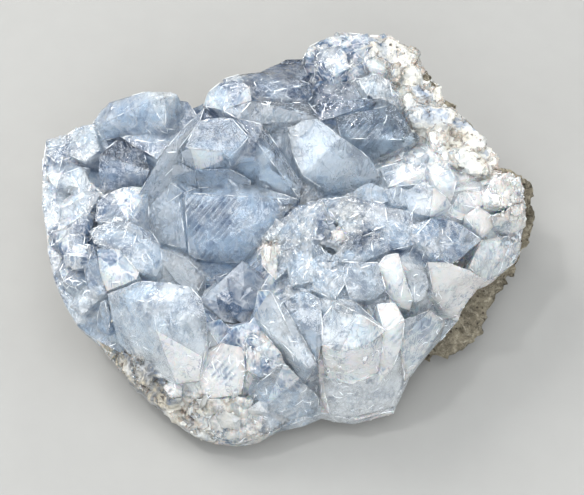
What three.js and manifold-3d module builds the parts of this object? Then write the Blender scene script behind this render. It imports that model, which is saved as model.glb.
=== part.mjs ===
// Celestite crystal cluster: a hand-sized piece of geode wall. Clear pale blue crystals have grown
// together out of a white massive crust round a shallow hollow, and a shell of tan marl is left under
// them and along the right rim. Millimetres, +Z up; +X is the viewer's right and +Y is away from them.
import * as THREE from "three";
import { ConvexGeometry } from "three/addons/geometries/ConvexGeometry.js";
import { mergeVertices } from "three/addons/utils/BufferGeometryUtils.js";
import Module from "manifold-3d";

const wasm = await Module();
wasm.setup();

// Driving dimensions of the real piece.
const WIDTH = 98; // from the left rim to the right rim
const AIM_HEIGHT = 18; // height of the middle of the piece, which the photograph is centred on
const SEAM = 0.45; // gap between crystals and marl
const FINEST = 0.08; // edges shorter than this are left out

// How a main crystal goes down into the crust.
const ROOT = {
  depth: 11, // how far it reaches below its lowest corner
  girth: 0.78, // its size at the root, as a share of its size at the top
  floor: 6, // no crystal reaches lower than this
  rimRise: 2.8, // a crystal at the rim reaches this far below the rim at most
  inward: 0.05, // how far roots are drawn in towards the middle, as a share of their distance
  inwardAtRim: 0.12, // the same at the rim
  rimFrom: 0.65, // a crystal counts as partly at the rim from this share of the way out
  rimFull: 0.95, // and as fully at the rim from this share
  nudge: 0.15, // unevenness of its corners
};

// The crust in rings, lowest first: each ring's share of the size of the rim, what its height is counted
// from, how far above that it lies, and its roughness.
const CRUST_RINGS = [
  { share: 0.3, from: "level", lift: 5, rough: 0 },
  { share: 0.7, from: "third", lift: 2, rough: 0 },
  { share: 0.93, from: "rim", lift: -5.2, rough: 0.5 },
  { share: 0.99, from: "rim", lift: -2.8, rough: 0.3 },
  { share: 0.995, from: "rim", lift: -0.4, rough: 0.3 },
  { share: 0.95, from: "rim", lift: 0, rough: 0.5 },
  { share: 0.83, from: "ground", lift: -3.2, rough: 0.5 },
  { share: 0.68, from: "ground", lift: -3.2, rough: 0.5 },
  { share: 0.53, from: "ground", lift: -3.2, rough: 0.5 },
  { share: 0.38, from: "ground", lift: -3.2, rough: 0.5 },
  { share: 0.22, from: "ground", lift: -3.2, rough: 0.5 },
  { share: 0.08, from: "ground", lift: -3.2, rough: 0.1 },
];
const CRUST_EVENNESS = 0.7; // bumps of the crust lower than this are left out
const GROUND_BLUR = 1.5; // softness of the ground between two corners

// The marl in rings, from the flat that the piece rests on, up its outside and in over its top.
const MARL_RINGS = [
  { share: 0.55, from: "level", lift: 0, rough: 0 },
  { share: 0.6, from: "level", lift: 1.6, rough: 0.6 },
  { share: 0.72, from: "third", lift: 0.8, rough: 1 },
  { share: 0.86, from: "half", lift: 0.8, rough: 1 },
  { share: 0.95, from: "threeQuarters", lift: 0, rough: 0.8 },
  { share: 0.99, from: "rim", lift: -0.8, rough: 0.4 },
  { share: 0.94, from: "rim", lift: 1.4, rough: 0.4 },
  { share: 0.86, from: "underside", lift: 0, rough: 0.3 },
  { share: 0.68, from: "third", lift: 5, rough: 0.2 },
  { share: 0.35, from: "level", lift: 5.5, rough: 0.1 },
];
const MARL_EVENNESS = 0.4; // bumps of the marl lower than this are left out
const NUDGE_ROOM = 3; // points of a ring that lie closer together than this are nudged less
const UNDERSIDE_DEPTH = 5.6; // from the rim of the crystals down to the marl

// How the photograph was taken: its size and the columns of the two rims in pixels, and the view.
const PHOTO = { width: 584, height: 495, leftRim: 44, rightRim: 538 };
const VIEW_ELEVATION = THREE.MathUtils.degToRad(60);
const VIEW_DISTANCE = 330;
const PIXELS_PER_MM = (PHOTO.rightRim - PHOTO.leftRim) / WIDTH;

// The place of a point that the photograph shows at column u and row v, at height z.
function seen([u, v, z]) {
  const ahead = new THREE.Vector3(0, Math.cos(VIEW_ELEVATION), -Math.sin(VIEW_ELEVATION));
  const up = new THREE.Vector3(0, Math.sin(VIEW_ELEVATION), Math.cos(VIEW_ELEVATION));
  const eye = new THREE.Vector3(0, 0, AIM_HEIGHT).addScaledVector(ahead, -VIEW_DISTANCE);
  const ray = ahead.multiplyScalar(VIEW_DISTANCE * PIXELS_PER_MM);
  ray.addScaledVector(up, PHOTO.height / 2 - v);
  ray.x += u - PHOTO.width / 2;
  return eye.addScaledVector(ray, (z - eye.z) / ray.z);
}

// The widest outline of the crystals and crust, as column, row and height.
const CRYSTAL_RIM = [
  [44, 140, 25], [42, 170, 24], [42, 205, 24], [44, 232, 23], [48, 258, 21], [55, 284, 20],
  [66, 306, 18], [78, 325, 16], [94, 340, 13], [112, 358, 12], [128, 376, 11], [148, 398, 10],
  [170, 416, 9], [192, 431, 8], [214, 439, 7], [236, 443, 7], [258, 438, 7], [280, 429, 7],
  [302, 421, 8], [322, 413, 8], [338, 417, 7], [356, 420, 7], [378, 414, 7], [395, 409, 8],
  [401, 394, 9], [410, 374, 10], [426, 355, 11], [440, 338, 12], [458, 320, 14], [465, 302, 16],
  [474, 288, 17], [494, 277, 17], [510, 264, 18], [522, 252, 19], [525, 226, 22], [529, 206, 24],
  [524, 186, 26], [516, 171, 27], [502, 173, 27], [498, 152, 27], [486, 137, 27], [470, 121, 28],
  [457, 110, 28], [446, 103, 28], [440, 82, 29], [425, 74, 30], [420, 52, 31], [406, 45, 31],
  [392, 36, 31], [372, 31, 32], [344, 32, 32], [322, 37, 32], [308, 45, 32], [302, 57, 31],
  [286, 58, 30], [264, 70, 31], [242, 76, 32], [218, 84, 33], [205, 100, 32], [190, 106, 29],
  [182, 98, 32], [152, 92, 34], [119, 98, 31], [102, 109, 29], [92, 123, 27], [78, 125, 27],
  [64, 133, 26],
];

// The widest outline of the marl: proud of the crystals along the right, hidden under them elsewhere.
const MARL_RIM = [
  [58, 160, 20], [56, 205, 18], [60, 248, 16], [70, 288, 14], [90, 324, 10], [110, 347, 9],
  [128, 367, 8], [150, 390, 7], [172, 408, 6], [194, 422, 5], [226, 433, 5], [260, 428, 5],
  [300, 414, 5], [340, 400, 5], [372, 388, 5], [398, 376, 5], [418, 361, 5], [440, 357, 5],
  [458, 354, 5], [466, 346, 5], [479, 339, 6], [484, 322, 7], [487, 309, 7], [500, 298, 8],
  [510, 285, 9], [522, 268, 11], [526, 250, 13], [534, 239, 15], [539, 222, 17], [538, 204, 19],
  [537, 181, 23], [527, 173, 25], [510, 171, 25], [500, 168, 25], [499, 150, 25], [484, 132, 26],
  [468, 117, 26], [445, 99, 26], [441, 80, 28], [424, 66, 28], [416, 48, 29], [398, 40, 29],
  [376, 36, 28], [340, 38, 27], [312, 48, 27], [286, 66, 25], [246, 82, 25], [206, 106, 24],
  [156, 108, 23], [110, 116, 22], [78, 134, 22],
];

// The middle of both outlines, as column, row and height.
const MIDDLE = [286, 236, 18];

// Places between the main crystals where the top of the crust shows or the hollow goes on down.
const GROUND = [
  [60, 165, 26], [58, 200, 26], [60, 235, 25], [66, 265, 24], [76, 295, 22], [88, 318, 19],
  [132, 360, 16], [160, 385, 14], [190, 410, 12], [225, 420, 11],
  [330, 60, 34], [360, 50, 34], [400, 60, 33], [420, 80, 32], [400, 90, 34], [440, 110, 31],
  [420, 115, 32], [460, 135, 30], [430, 140, 30], [480, 150, 29], [470, 168, 29], [440, 150, 30],
  [215, 318, 20], [262, 300, 24], [270, 320, 24], [430, 330, 19],
];

// The pit in the hollow: corners of its mouth, and of its floor.
const PIT = [
  [207, 286, 26], [226, 270, 26], [247, 266, 26], [270, 274, 27], [262, 292, 27], [252, 322, 26],
  [228, 330, 26], [208, 304, 26], [212, 288, 9], [228, 284, 8], [244, 296, 7], [240, 316, 8],
  [222, 312, 9],
];

// The main crystals. Each list holds the corners of the faces that show, as column, row and height.
const CRYSTALS = {
  back_left_block: [
    [93, 122, 26], [110, 102, 31], [148, 91, 36], [178, 95, 35], [187, 114, 31], [184, 130, 29],
    [166, 97, 38], [166, 129, 33], [150, 100, 38], [102, 124, 31], [104, 140, 27], [160, 134, 30],
  ],
  left_corner: [[46, 139, 25], [66, 134, 26], [64, 152, 27], [58, 176, 27], [45, 182, 25]],
  left_shard: [[62, 152, 27], [70, 131, 28], [82, 125, 28], [93, 124, 28], [99, 150, 28], [84, 162, 28]],
  left_dark_block: [
    [100, 155, 29], [117, 140, 31], [127, 141, 31], [143, 152, 30], [150, 170, 28], [143, 185, 25],
    [122, 189, 24], [104, 194, 23], [98, 176, 26],
  ],
  left_saddle: [
    [105, 140, 28], [120, 137, 31], [182, 131, 30], [168, 146, 31], [158, 160, 30], [143, 152, 30],
  ],
  hollow_brow: [
    [197, 113, 35], [205, 108, 35], [200, 122, 34], [180, 148, 32], [162, 179, 27], [147, 191, 26],
    [134, 213, 25], [130, 210, 26], [146, 180, 30], [165, 150, 33], [182, 128, 34],
  ],
  left_pale_wedge: [
    [98, 200, 27], [112, 192, 28], [128, 186, 29], [147, 188, 27], [133, 212, 27], [150, 231, 26],
    [128, 222, 29], [95, 222, 26],
  ],
  left_glass_block: [
    [88, 231, 27], [108, 222, 29], [130, 221, 31], [153, 232, 30], [160, 246, 28], [163, 264, 27],
    [157, 276, 27], [138, 272, 29], [118, 249, 31], [95, 243, 28],
  ],
  left_blue_band: [
    [84, 244, 27], [94, 245, 30], [99, 270, 27], [106, 293, 25], [98, 300, 22], [88, 298, 22],
    [85, 272, 25],
  ],
  left_blue_foot: [[99, 304, 22], [105, 300, 24], [110, 315, 21], [108, 336, 17], [96, 331, 15]],
  left_white_face: [
    [97, 250, 30], [105, 246, 31], [119, 249, 32], [139, 272, 31], [137, 280, 30], [107, 292, 25],
    [100, 272, 28],
  ],
  front_left_block: [
    [107, 293, 25], [140, 281, 30], [162, 282, 32], [189, 286, 33], [202, 299, 32], [207, 318, 30],
    [207, 340, 26], [202, 356, 23], [200, 381, 17], [176, 384, 15], [150, 372, 15], [120, 345, 16],
    [112, 320, 20], [157, 331, 29], [153, 303, 33],
  ],
  hollow_sill: [
    [158, 250, 20], [187, 258, 19], [206, 277, 17], [206, 298, 15], [196, 294, 18], [178, 282, 21],
    [163, 264, 23],
  ],
  hollow_left_face: [
    [135, 213, 23], [148, 192, 24], [158, 180, 24], [176, 182, 24], [183, 190, 22], [181, 205, 19],
    [185, 228, 17], [186, 248, 16], [160, 243, 18],
  ],
  hollow_bright_facet: [[164, 205, 22], [171, 183, 25], [184, 191, 23], [176, 203, 21]],
  hollow_floor: [
    [184, 192, 23], [196, 187, 23], [208, 196, 21], [237, 192, 22], [255, 184, 24], [278, 192, 26],
    [300, 200, 27], [292, 214, 24], [264, 236, 19], [240, 262, 15], [212, 262, 14], [189, 257, 15],
    [183, 226, 17],
  ],
  dark_facet_left: [
    [160, 178, 25], [168, 167, 28], [181, 163, 30], [195, 170, 29], [194, 188, 21], [184, 189, 22],
    [172, 182, 24],
  ],
  dark_facet_right: [
    [195, 170, 29], [228, 168, 30], [250, 180, 26], [240, 190, 22], [222, 193, 21], [208, 195, 20],
    [194, 188, 21],
  ],
  pale_bar: [
    [181, 151, 32], [190, 148, 33], [222, 152, 33], [228, 158, 32], [227, 167, 29], [197, 171, 28],
    [183, 163, 29],
  ],
  swirl_block: [
    [184, 147, 33], [199, 121, 36], [222, 117, 37], [236, 119, 37], [256, 141, 34], [272, 160, 30],
    [262, 178, 26], [248, 178, 26], [229, 165, 30], [222, 151, 33],
  ],
  swirl_rib: [[222, 152, 34], [221, 120, 38], [232, 118, 38], [249, 137, 36], [229, 159, 33]],
  blue_gap_block: [
    [236, 118, 36], [262, 125, 35], [280, 150, 32], [300, 180, 28], [300, 200, 26], [278, 192, 25],
    [256, 182, 26], [272, 160, 30], [256, 141, 34],
  ],
  back_white_block: [
    [203, 106, 33], [207, 93, 35], [220, 82, 37], [232, 80, 38], [250, 86, 39], [252, 100, 38],
    [222, 110, 36],
  ],
  back_dark_arc: [
    [222, 80, 36], [240, 74, 35], [262, 72, 34], [292, 76, 34], [310, 84, 34], [313, 95, 33],
    [308, 102, 33], [285, 106, 34], [262, 104, 36], [250, 96, 38], [245, 84, 38],
  ],
  back_ledge: [
    [222, 110, 36], [252, 101, 38], [285, 106, 35], [309, 102, 34], [320, 118, 33], [300, 123, 32],
    [262, 124, 34], [236, 118, 36],
  ],
  back_pale_shard: [
    [262, 71, 32], [278, 63, 31], [302, 64, 31], [308, 75, 32], [300, 80, 34], [270, 74, 34],
  ],
  smooth_block: [
    [287, 128, 33], [300, 120, 35], [317, 118, 36], [341, 138, 34], [360, 149, 31], [374, 163, 28],
    [379, 180, 25], [366, 187, 23], [345, 197, 21], [325, 190, 24], [302, 175, 28], [292, 150, 31],
  ],
  wedge_upper: [
    [308, 108, 32], [325, 101, 34], [370, 98, 35], [378, 101, 34], [350, 112, 34], [320, 121, 33],
  ],
  wedge_lower: [
    [335, 118, 34], [395, 104, 34], [408, 122, 31], [420, 140, 28], [400, 139, 27], [386, 158, 23],
    [374, 160, 24], [341, 138, 31],
  ],
  crest_pale_face: [[316, 44, 34], [342, 46, 36], [350, 66, 36], [332, 76, 35], [314, 64, 34]],
  crest_grey_face: [[356, 80, 34], [372, 72, 36], [390, 80, 35], [392, 97, 33], [372, 98, 34]],
  valley_white_left: [[379, 168, 26], [400, 161, 29], [426, 172, 30], [420, 184, 28], [388, 187, 27]],
  valley_white_right: [[426, 165, 30], [448, 160, 31], [457, 180, 31], [452, 201, 28], [436, 188, 29]],
  crest_blue_a: [
    [345, 196, 31], [356, 187, 34], [370, 183, 36], [384, 188, 35], [395, 200, 34], [372, 206, 35],
  ],
  crest_blue_b: [[384, 190, 35], [396, 186, 37], [406, 190, 36], [408, 206, 34], [392, 206, 35]],
  crest_blue_c: [
    [404, 192, 36], [420, 184, 38], [434, 187, 38], [446, 197, 36], [452, 205, 33], [430, 216, 34],
    [408, 212, 34],
  ],
  crest_blue_d: [
    [456, 204, 32], [458, 194, 34], [466, 190, 35], [480, 192, 34], [488, 200, 32], [478, 208, 32],
  ],
  mound_left: [
    [262, 236, 24], [275, 222, 28], [300, 205, 32], [322, 199, 34], [345, 200, 35], [338, 222, 36],
    [310, 240, 33], [284, 250, 28],
  ],
  mound_top: [
    [322, 200, 35], [350, 196, 37], [384, 203, 38], [388, 225, 37], [352, 240, 37], [338, 222, 38],
  ],
  mound_right: [[384, 206, 37], [412, 212, 36], [414, 246, 34], [388, 250, 34], [378, 228, 37]],
  mound_front: [
    [352, 240, 37], [388, 226, 37], [390, 250, 34], [362, 262, 34], [328, 262, 33], [340, 248, 35],
  ],
  mound_foot: [[262, 240, 25], [284, 246, 28], [290, 266, 27], [275, 281, 24], [262, 264, 23]],
  mound_white: [[284, 250, 29], [312, 240, 34], [332, 256, 34], [318, 280, 31], [292, 285, 28]],
  mound_grey: [[318, 262, 34], [345, 262, 34], [350, 275, 33], [335, 300, 31], [312, 290, 30]],
  mound_glass: [
    [345, 262, 34], [378, 262, 34], [386, 290, 31], [374, 300, 30], [350, 300, 31], [342, 274, 34],
  ],
  long_prism: [
    [257, 290, 32], [270, 290, 34], [283, 302, 32], [318, 364, 24], [306, 381, 20], [299, 379, 19],
    [281, 351, 23], [253, 315, 28], [308, 368, 25],
  ],
  grey_triangle: [
    [283, 302, 31], [292, 296, 32], [305, 290, 33], [321, 300, 32], [322, 340, 27], [318, 364, 23],
    [300, 335, 26],
  ],
  bright_face: [
    [322, 318, 32], [335, 303, 34], [360, 314, 34], [386, 330, 31], [368, 345, 29], [340, 352, 28],
    [322, 346, 29],
  ],
  bright_face_back: [
    [330, 299, 32], [354, 300, 33], [378, 322, 32], [387, 330, 30], [360, 314, 34], [336, 303, 34],
  ],
  bright_face_foot: [
    [322, 346, 29], [340, 352, 28], [368, 345, 29], [384, 334, 28], [378, 372, 20], [352, 384, 17],
    [328, 378, 18],
  ],
  crescent: [
    [377, 303, 32], [396, 303, 32], [405, 320, 30], [402, 345, 25], [392, 368, 20], [378, 386, 16],
    [380, 360, 22], [385, 332, 29],
  ],
  front_right_base: [
    [322, 378, 18], [352, 384, 18], [378, 374, 19], [400, 352, 20], [404, 374, 14], [398, 395, 10],
    [394, 408, 8], [356, 418, 7], [330, 415, 8], [321, 400, 11],
  ],
  crescent_shoulder: [
    [402, 320, 28], [430, 310, 26], [446, 322, 21], [440, 342, 15], [424, 356, 12], [404, 383, 11],
    [400, 352, 20], [405, 335, 25],
  ],
  front_pyramid: [
    [258, 384, 19], [275, 368, 23], [284, 363, 25], [300, 379, 21], [318, 398, 13], [318, 412, 9],
    [292, 421, 9], [264, 408, 13], [254, 395, 16],
  ],
  front_striped: [
    [207, 350, 21], [222, 342, 24], [242, 348, 24], [246, 372, 20], [242, 395, 15], [205, 400, 13],
    [200, 382, 16],
  ],
  front_white: [
    [246, 335, 24], [262, 330, 26], [282, 352, 25], [285, 366, 23], [262, 378, 20], [246, 370, 20],
  ],
  front_lip: [
    [195, 400, 13], [240, 398, 15], [262, 408, 13], [292, 421, 9], [262, 436, 8], [226, 440, 8],
    [196, 427, 9],
  ],
  pale_blade: [
    [378, 264, 34], [386, 256, 35], [398, 254, 36], [404, 276, 34], [414, 300, 28], [410, 310, 26],
    [400, 308, 27], [385, 290, 30],
  ],
  window_block: [
    [404, 275, 32], [414, 268, 34], [426, 273, 33], [430, 285, 31], [424, 300, 28], [415, 303, 28],
  ],
  right_white_block: [
    [428, 262, 33], [445, 262, 33], [470, 270, 30], [484, 280, 25], [470, 296, 21], [456, 318, 16],
    [445, 314, 18], [432, 290, 27],
  ],
  dark_patch: [
    [412, 225, 35], [432, 218, 36], [458, 222, 34], [482, 240, 29], [462, 256, 30], [450, 264, 30],
    [425, 248, 34], [412, 240, 35],
  ],
  right_white_face: [[464, 216, 32], [478, 206, 33], [492, 216, 31], [494, 226, 28], [482, 239, 27]],
  right_back_block: [
    [480, 192, 34], [500, 176, 32], [520, 178, 29], [524, 200, 27], [512, 206, 30], [488, 205, 33],
  ],
  right_end_block: [
    [492, 216, 31], [512, 206, 30], [526, 204, 26], [526, 228, 22], [508, 236, 23], [494, 228, 27],
  ],
  right_low_block: [
    [482, 240, 28], [508, 236, 24], [522, 242, 20], [516, 262, 17], [500, 275, 17], [484, 282, 22],
    [470, 268, 29],
  ],
};

// Patches of smaller crystals on the crust: the middle and half-sizes of each patch in pixels, the height
// of its middle, and the number, width and height above the crust of its crystals.
const SMALL_CRYSTALS = [
  { name: "left rim", at: [66, 205, 26], half: [18, 66], count: 9, width: [7, 11], proud: [3, 3.8] },
  { name: "left foot", at: [78, 292, 22], half: [14, 34], count: 4, width: [5, 8], proud: [2.8, 3.6] },
  { name: "front rim", at: [150, 392, 13], half: [34, 26], count: 4, width: [4, 6], proud: [3, 3.8] },
  { name: "back rim", at: [402, 76, 33], half: [44, 34], count: 7, width: [6, 9], proud: [2.6, 4] },
  { name: "right valley", at: [450, 138, 30], half: [40, 34], count: 6, width: [6, 9], proud: [2.6, 4] },
  { name: "mound", at: [350, 228, 36], half: [54, 26], count: 4, width: [4, 6], proud: [3.6, 5] },
  { name: "shoulder", at: [444, 246, 33], half: [30, 24], count: 2, width: [4, 6], proud: [3.4, 4.6] },
];

// The shape of a small crystal, as shares of half its width and of its length.
const SMALL_SHAPE = {
  shoulder: [[1, 0, 0.7], [0.35, 0.66, 0.7], [-0.85, 0.4, 0.7], [-0.8, -0.45, 0.7], [0.4, -0.66, 0.7]],
  edge: [[0.55, 0, 1], [-0.4, 0, 0.96]],
  root: [[0.8, 0, -0.4], [-0.5, 0.5, -0.4], [-0.5, -0.5, -0.4]],
};
const SMALL_FOOT = 4.2; // a small crystal starts this far under the ground
const SMALL_UPRIGHT = 1.4; // how upright small crystals stand against a random lean of up to a half
const SMALL_OUTWARD = 0.006; // outward lean for each millimetre from the middle
const SMALL_INSET = 0.55; // how far inside the rim a small crystal stays, as a share of its width

const SEEDS = { crust: 7, marl: 8, crystals: 9 };

// A repeatable source of random numbers from 0 to 1.
function randomSource(seed) {
  let state = seed;
  return () => {
    state = (state * 1664525 + 1013904223) % 4294967296;
    return state / 4294967296;
  };
}

const between = (random, [low, high]) => low + (high - low) * random();

// A closed mesh as a solid that can be joined and cut.
function solidOf(geometry) {
  const bare = geometry.index ? geometry.toNonIndexed() : geometry.clone();
  bare.deleteAttribute("normal");
  bare.deleteAttribute("uv");
  const merged = mergeVertices(bare, 1e-4);
  return new wasm.Manifold(
    new wasm.Mesh({
      numProp: 3,
      vertProperties: new Float32Array(merged.attributes.position.array),
      triVerts: new Uint32Array(merged.index.array),
    }),
  );
}

// A solid back as a mesh geometry, with its flat faces shaded flat.
function geometryOf(solid) {
  const mesh = solid.getMesh();
  const geometry = new THREE.BufferGeometry();
  geometry.setAttribute("position", new THREE.BufferAttribute(mesh.vertProperties, 3));
  geometry.setIndex(new THREE.BufferAttribute(mesh.triVerts, 1));
  const flat = geometry.toNonIndexed();
  flat.computeVertexNormals();
  return flat;
}

const middle = seen(MIDDLE);
const crystalRim = CRYSTAL_RIM.map(seen);
const marlRim = MARL_RIM.map(seen);
const flatDistance = (p) => Math.hypot(p.x - middle.x, p.y - middle.y);

// Where the straight line from the middle through a place crosses the rim of the crystals.
function rimTowards(x, y) {
  const across = (p) => (p.x - middle.x) * (y - middle.y) - (p.y - middle.y) * (x - middle.x);
  const along = (p) => (p.x - middle.x) * (x - middle.x) + (p.y - middle.y) * (y - middle.y);
  for (let i = 0; i < crystalRim.length; i++) {
    const [p, q] = [crystalRim[i], crystalRim[(i + 1) % crystalRim.length]];
    const [before, after] = [across(p), across(q)];
    if (before >= 0 && after < 0 && along(p) + along(q) > 0) {
      return p.clone().lerp(q, before / (before - after));
    }
  }
  return crystalRim[0];
}

// Height of the ground that the crystals grow from: a smooth mean of the corners that lie nearest.
const groundPoints = [...Object.values(CRYSTALS).flat(), ...CRYSTAL_RIM, ...GROUND].map(seen);
function groundHeight(x, y) {
  const sum = { weight: 0, height: 0 };
  for (const p of groundPoints) {
    const weight = 1 / ((x - p.x) ** 2 + (y - p.y) ** 2 + GROUND_BLUR ** 2) ** 2;
    sum.weight += weight;
    sum.height += weight * p.z;
  }
  return sum.height / sum.weight;
}

// A closed solid from rings of equal length, lowest first, with a cap across each end.
function ringSolid(rings) {
  const count = rings[0].length;
  const centres = [rings[0], rings[rings.length - 1]].map((ring) =>
    ring.reduce((sum, p) => sum.add(p), new THREE.Vector3()).divideScalar(count),
  );
  const points = [...rings.flat(), ...centres];
  const bottom = points.length - 2;
  const top = points.length - 1;
  const faces = [];
  for (let i = 0; i < count; i++) {
    const next = (i + 1) % count;
    faces.push(bottom, next, i);
    for (let r = 0; r + 1 < rings.length; r++) {
      const [a, b] = [r * count + i, r * count + next];
      faces.push(a, b, b + count, a, b + count, a + count);
    }
    const last = (rings.length - 1) * count;
    faces.push(top, last + i, last + next);
  }
  const geometry = new THREE.BufferGeometry().setFromPoints(points);
  geometry.setIndex(faces);
  return solidOf(geometry);
}

// What the height of a ring is counted from, at a place whose rim point is p.
const HEIGHT_FROM = {
  level: () => 0,
  rim: (x, y, p) => p.z,
  third: (x, y, p) => p.z / 3,
  half: (x, y, p) => p.z / 2,
  threeQuarters: (x, y, p) => p.z * 0.75,
  ground: (x, y) => groundHeight(x, y),
  underside: (x, y) => rimTowards(x, y).z - UNDERSIDE_DEPTH,
};

// One ring: the rim drawn in towards the middle, with every point nudged by the ring's roughness.
function ring(rim, { share, from, lift, rough }, random) {
  return rim.map((p, i) => {
    const gap = share * Math.min(p.distanceTo(rim.at(i - 1)), p.distanceTo(rim[(i + 1) % rim.length]));
    const nudge = () => (random() * 2 - 1) * rough * Math.min(1, gap / NUDGE_ROOM);
    const x = middle.x + (p.x - middle.x) * share;
    const y = middle.y + (p.y - middle.y) * share;
    return new THREE.Vector3(x + nudge(), y + nudge(), HEIGHT_FROM[from](x, y, p) + lift + nudge());
  });
}

// The white massive crust under the crystals, thickest at the rim.
function makeCrust() {
  const random = randomSource(SEEDS.crust);
  return ringSolid(CRUST_RINGS.map((row) => ring(crystalRim, row, random))).simplify(CRUST_EVENNESS);
}

// A main crystal: the solid round its visible corners and a smaller copy of them down at its root. Each
// corner is nudged, so that neighbours overlap or stand apart but never just touch along an edge.
function makeCrystal(corners, random) {
  const nudge = () => (random() * 2 - 1) * ROOT.nudge;
  const tops = corners.map((corner) => seen(corner).add(new THREE.Vector3(nudge(), nudge(), nudge())));
  const centre = tops.reduce((sum, p) => sum.add(p), new THREE.Vector3()).divideScalar(tops.length);
  const lowest = Math.min(...tops.map((p) => p.z));
  const rim = rimTowards(centre.x, centre.y);
  const wayOut = flatDistance(centre) / flatDistance(rim);
  const atRim = THREE.MathUtils.smoothstep(wayOut, ROOT.rimFrom, ROOT.rimFull);
  const floor = THREE.MathUtils.lerp(ROOT.floor, rim.z - ROOT.rimRise, atRim);
  const depth = Math.min(Math.max(lowest - ROOT.depth, floor), lowest - 1);
  const drawn = THREE.MathUtils.lerp(ROOT.inward, ROOT.inwardAtRim, atRim);
  const inward = middle.clone().sub(centre).multiplyScalar(drawn);
  const roots = tops
    .filter((_, i) => i % 2 === 0)
    .map((p) => p.clone().sub(centre).multiplyScalar(ROOT.girth).add(centre).add(inward).setZ(depth));
  return solidOf(new ConvexGeometry([...tops, ...roots]));
}

// A small crystal: a flattened five-sided prism that ends in a chisel edge, along an axis from its foot.
function makeSmallCrystal(foot, axis, length, width, roll) {
  const up = new THREE.Vector3(0, 0, 1);
  const turn = new THREE.Quaternion().setFromUnitVectors(up, axis);
  turn.multiply(new THREE.Quaternion().setFromAxisAngle(up, roll));
  const size = new THREE.Vector3(width / 2, width / 2, length);
  const points = Object.values(SMALL_SHAPE)
    .flat()
    .map((share) => new THREE.Vector3(...share).multiply(size).applyQuaternion(turn).add(foot));
  return solidOf(new ConvexGeometry(points));
}

// Every crystal of one patch, inside the rim and leaning a little outwards and at random.
function makePatch(patch, random) {
  const spread = () => random() * 2 - 1;
  return Array.from({ length: patch.count }, () => {
    const u = patch.at[0] + spread() * patch.half[0];
    const v = patch.at[1] + spread() * patch.half[1];
    const foot = seen([u, v, patch.at[2]]);
    const width = between(random, patch.width);
    const limit = flatDistance(rimTowards(foot.x, foot.y)) - width * SMALL_INSET;
    const drawn = Math.min(1, limit / flatDistance(foot));
    foot.sub(middle).multiplyScalar(drawn).add(middle);
    foot.z = groundHeight(foot.x, foot.y) - SMALL_FOOT;
    const length = between(random, patch.proud) + 1;
    const axis = foot.clone().sub(middle).setZ(0).multiplyScalar(SMALL_OUTWARD);
    axis.add(new THREE.Vector3(spread() / 2, spread() / 2, SMALL_UPRIGHT)).normalize();
    return makeSmallCrystal(foot, axis, length, width, random() * Math.PI);
  });
}

// The marl: a rough shell that narrows from its rim to the flat that the piece rests on.
function makeMarl() {
  const random = randomSource(SEEDS.marl);
  return ringSolid(MARL_RINGS.map((row) => ring(marlRim, row, random))).simplify(MARL_EVENNESS);
}

// A solid with each of its corners moved outwards by a margin.
function swollen(solid, margin) {
  const mesh = solid.getMesh();
  const geometry = new THREE.BufferGeometry();
  geometry.setAttribute("position", new THREE.BufferAttribute(mesh.vertProperties, 3));
  geometry.setIndex(new THREE.BufferAttribute(mesh.triVerts, 1));
  geometry.computeVertexNormals();
  const { position, normal } = geometry.attributes;
  position.array.forEach((value, i) => {
    position.array[i] = value + normal.array[i] * margin;
  });
  return solidOf(geometry);
}

// The largest of the separate bodies that a cut leaves.
function largest(solid) {
  return solid.decompose().reduce((best, body) => (body.volume() > best.volume() ? body : best));
}

// The crust and every crystal as one solid, with the pit and a seat for the marl cut out of it.
function makeCelestite(marl) {
  const random = randomSource(SEEDS.crystals);
  const crystals = Object.values(CRYSTALS).map((corners) => makeCrystal(corners, random));
  const small = SMALL_CRYSTALS.flatMap((patch) => makePatch(patch, random));
  const pit = solidOf(new ConvexGeometry(PIT.map(seen)));
  const joined = [...crystals, ...small].reduce((sum, crystal) => sum.add(crystal), makeCrust());
  return largest(joined.subtract(pit).subtract(swollen(marl, SEAM)).simplify(FINEST));
}

const marlSolid = makeMarl();
const celestiteSolid = makeCelestite(marlSolid);

const celestiteFinish = new THREE.MeshStandardMaterial({ color: 0xb4c6d8, roughness: 0.12, metalness: 0 });
const marlFinish = new THREE.MeshStandardMaterial({ color: 0x9a917c, roughness: 0.95, metalness: 0 });

const celestite = new THREE.Mesh(geometryOf(celestiteSolid), celestiteFinish);
celestite.name = "celestite_crystals";
const marl = new THREE.Mesh(geometryOf(marlSolid), marlFinish);
marl.name = "marl_matrix";

// The origin is the middle of the underside of the piece's box.
const specimen = new THREE.Group();
specimen.add(celestite, marl);
const box = new THREE.Box3().setFromObject(specimen);
const centre = box.getCenter(new THREE.Vector3());
specimen.position.set(-centre.x, -centre.y, -box.min.z);

const part = new THREE.Group();
part.add(specimen);

export default part;
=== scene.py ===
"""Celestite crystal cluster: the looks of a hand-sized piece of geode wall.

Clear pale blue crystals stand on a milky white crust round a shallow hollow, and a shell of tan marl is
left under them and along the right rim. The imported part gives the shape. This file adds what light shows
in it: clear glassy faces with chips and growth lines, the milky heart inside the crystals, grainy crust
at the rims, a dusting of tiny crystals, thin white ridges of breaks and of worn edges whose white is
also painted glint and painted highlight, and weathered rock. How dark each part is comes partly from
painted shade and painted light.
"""

import itertools
import math

import bmesh
import bpy
import numpy as np
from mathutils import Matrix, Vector
from mathutils.bvhtree import BVHTree


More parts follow.
